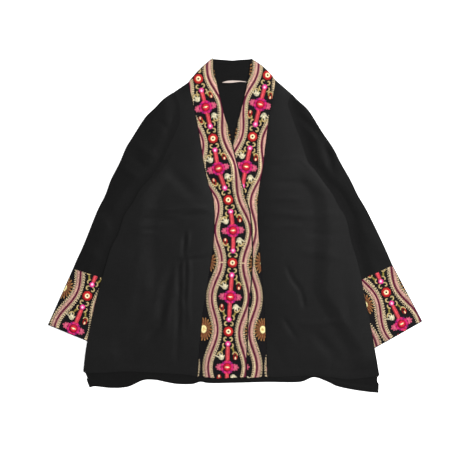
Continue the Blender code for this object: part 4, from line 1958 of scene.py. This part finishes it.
@dataclass
class Studio:
    """Floor, lights and camera."""

    photo_scale: float = 2.2
    photo_middle: tuple[float, float] = (235.05, 225.35)
    photo_side: int = 460
    lens: float = 100.0
    sensor: float = 36.0
    floor_size: float = 40.0
    floor_level: float = -0.0002
    floor_tone: float = 0.9
    floor_glow: float = 0.45
    room_light: float = 0.32
    lamps: tuple[Lamp, ...] = (
        Lamp("soft_key", (2.1, 1.1, 3.5), 2.0, 262.0),
        Lamp("soft_fill", (-1.2, -0.9, 2.9), 2.4, 30.0),
    )

    def build(self) -> None:
        """Sets the floor, the lights and the camera."""
        self.floor()
        self.lights()
        self.camera()

    def floor(self) -> None:
        """Lays a plain pale floor."""
        half = self.floor_size / 2
        corners = [(x, y, self.floor_level)
                   for x, y in ((-half, -half), (half, -half), (half, half), (-half, half))]
        mesh = bpy.data.meshes.new("floor")
        mesh.from_pydata(corners, [], [(0, 1, 2, 3)])
        material, shader = new_material("pale_floor")
        set_inputs(shader, {
            "Base Color": (self.floor_tone, self.floor_tone, self.floor_tone, 1.0),
            "Roughness": 0.9,
            "Specular IOR Level": 0.0,
            "Emission Color": (1.0, 1.0, 1.0, 1.0),
            "Emission Strength": self.floor_glow,
        })
        mesh.materials.append(material)
        put("floor", mesh)

    def lights(self) -> None:
        """Sets a bright room, a soft light high beyond the neck and a weaker one opposite."""
        world = bpy.data.worlds.new("studio")
        bpy.context.scene.world = world
        world.use_nodes = True
        set_inputs(world.node_tree.nodes["Background"],
                   {"Color": (1.0, 1.0, 1.0, 1.0), "Strength": self.room_light})
        for row in self.lamps:
            light = bpy.data.lights.new(row.name, "AREA")
            light.size = row.size
            light.energy = row.power
            lamp = put(row.name, light)
            lamp.location = row.spot
            lamp.rotation_euler = Vector(row.spot).to_track_quat("Z", "Y").to_euler()

    def camera(self) -> None:
        """Hangs the camera straight above, with the photo's frame."""
        scene = bpy.context.scene
        data = bpy.data.cameras.new("overhead")
        data.lens = self.lens
        data.sensor_width = self.sensor
        data.sensor_fit = "HORIZONTAL"
        view_width = self.photo_side * self.photo_scale * MM
        height = view_width / 2 / (self.sensor / 2 / self.lens)
        camera = put("overhead", data)
        middle = self.photo_side / 2
        x = (middle - self.photo_middle[0]) * self.photo_scale * MM
        y = (self.photo_middle[1] - middle) * self.photo_scale * MM
        camera.location = (x, y, height)
        scene.camera = camera
        scene.view_settings.view_transform = "Standard"
        scene.view_settings.look = "None"


RIGHT_SIDE = Side(
    sign=-1,
    side=((-135, 292), (-123, 267), (-122, 227), (-131, 203), (-143, 179), (-162, 137),
          (-189, 100), (-209, 78), (-225, 49), (-244, 20), (-256, -17), (-273, -52),
          (-287, -98), (-298, -136), (-310, -184), (-322, -239), (-329, -280), (-334, -322)),
    outer=((-139, 290), (-159, 276), (-176, 258), (-194, 241), (-207, 223), (-229, 188),
           (-240, 170), (-255, 135), (-273, 100), (-286, 65), (-304, 29), (-332, -41),
           (-348, -76), (-356, -95)),
    armhole_share=0.68,
    underarm=((-227, 0), (-228.5, -60), (-230, -135)),
    cuff_end=((-411.6, -219.4), (-289.6, -270.4)),
)
LEFT_SIDE = Side(
    sign=1,
    side=((123, 289), (116, 267), (120, 252), (130, 223), (144, 186), (160, 139), (175, 121),
          (195, 93), (214, 67), (226, 43), (243, 14), (255, -37), (267, -76), (277, -116),
          (284, -155), (294, -202), (304, -257), (311, -296), (317, -330)),
    outer=((127, 286), (136, 276), (156, 258), (169, 241), (191, 205), (215, 170), (233, 135),
           (253, 100), (270, 65), (291, 29), (325, -41), (345.5, -87.5)),
    armhole_share=0.70,
    underarm=((224, -5), (221, -70), (218, -147)),
    cuff_end=((411.4, -211.6), (296.2, -276.9)),
)


def main() -> None:
    """Builds the jacket and its studio."""
    logging.basicConfig(level=logging.INFO, format="%(name)s: %(message)s")
    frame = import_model()
    LOG.info("the frame holds %d nodes", len(frame["nodes"]))
    bands = Bands()
    label_low, label_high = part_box("label_strip")
    place = Placement(
        (label_low[0] + label_high[0]) / 2 - sum(bands.label_ends) / 2 * MM,
        (label_low[1] + label_high[1]) / 2 - bands.label_y * MM,
    )
    workshop = Workshop(place, Finishes())
    cut = Cut()
    cut.build_lines(RIGHT_SIDE, LEFT_SIDE)
    for part in (BodyPanels(), Sleeves(), bands):
        part.build(cut, workshop)
        LOG.info("%s built", type(part).__name__)
    Studio().build()
    LOG.info("Studio built")


if __name__ == "__main__":
    main()
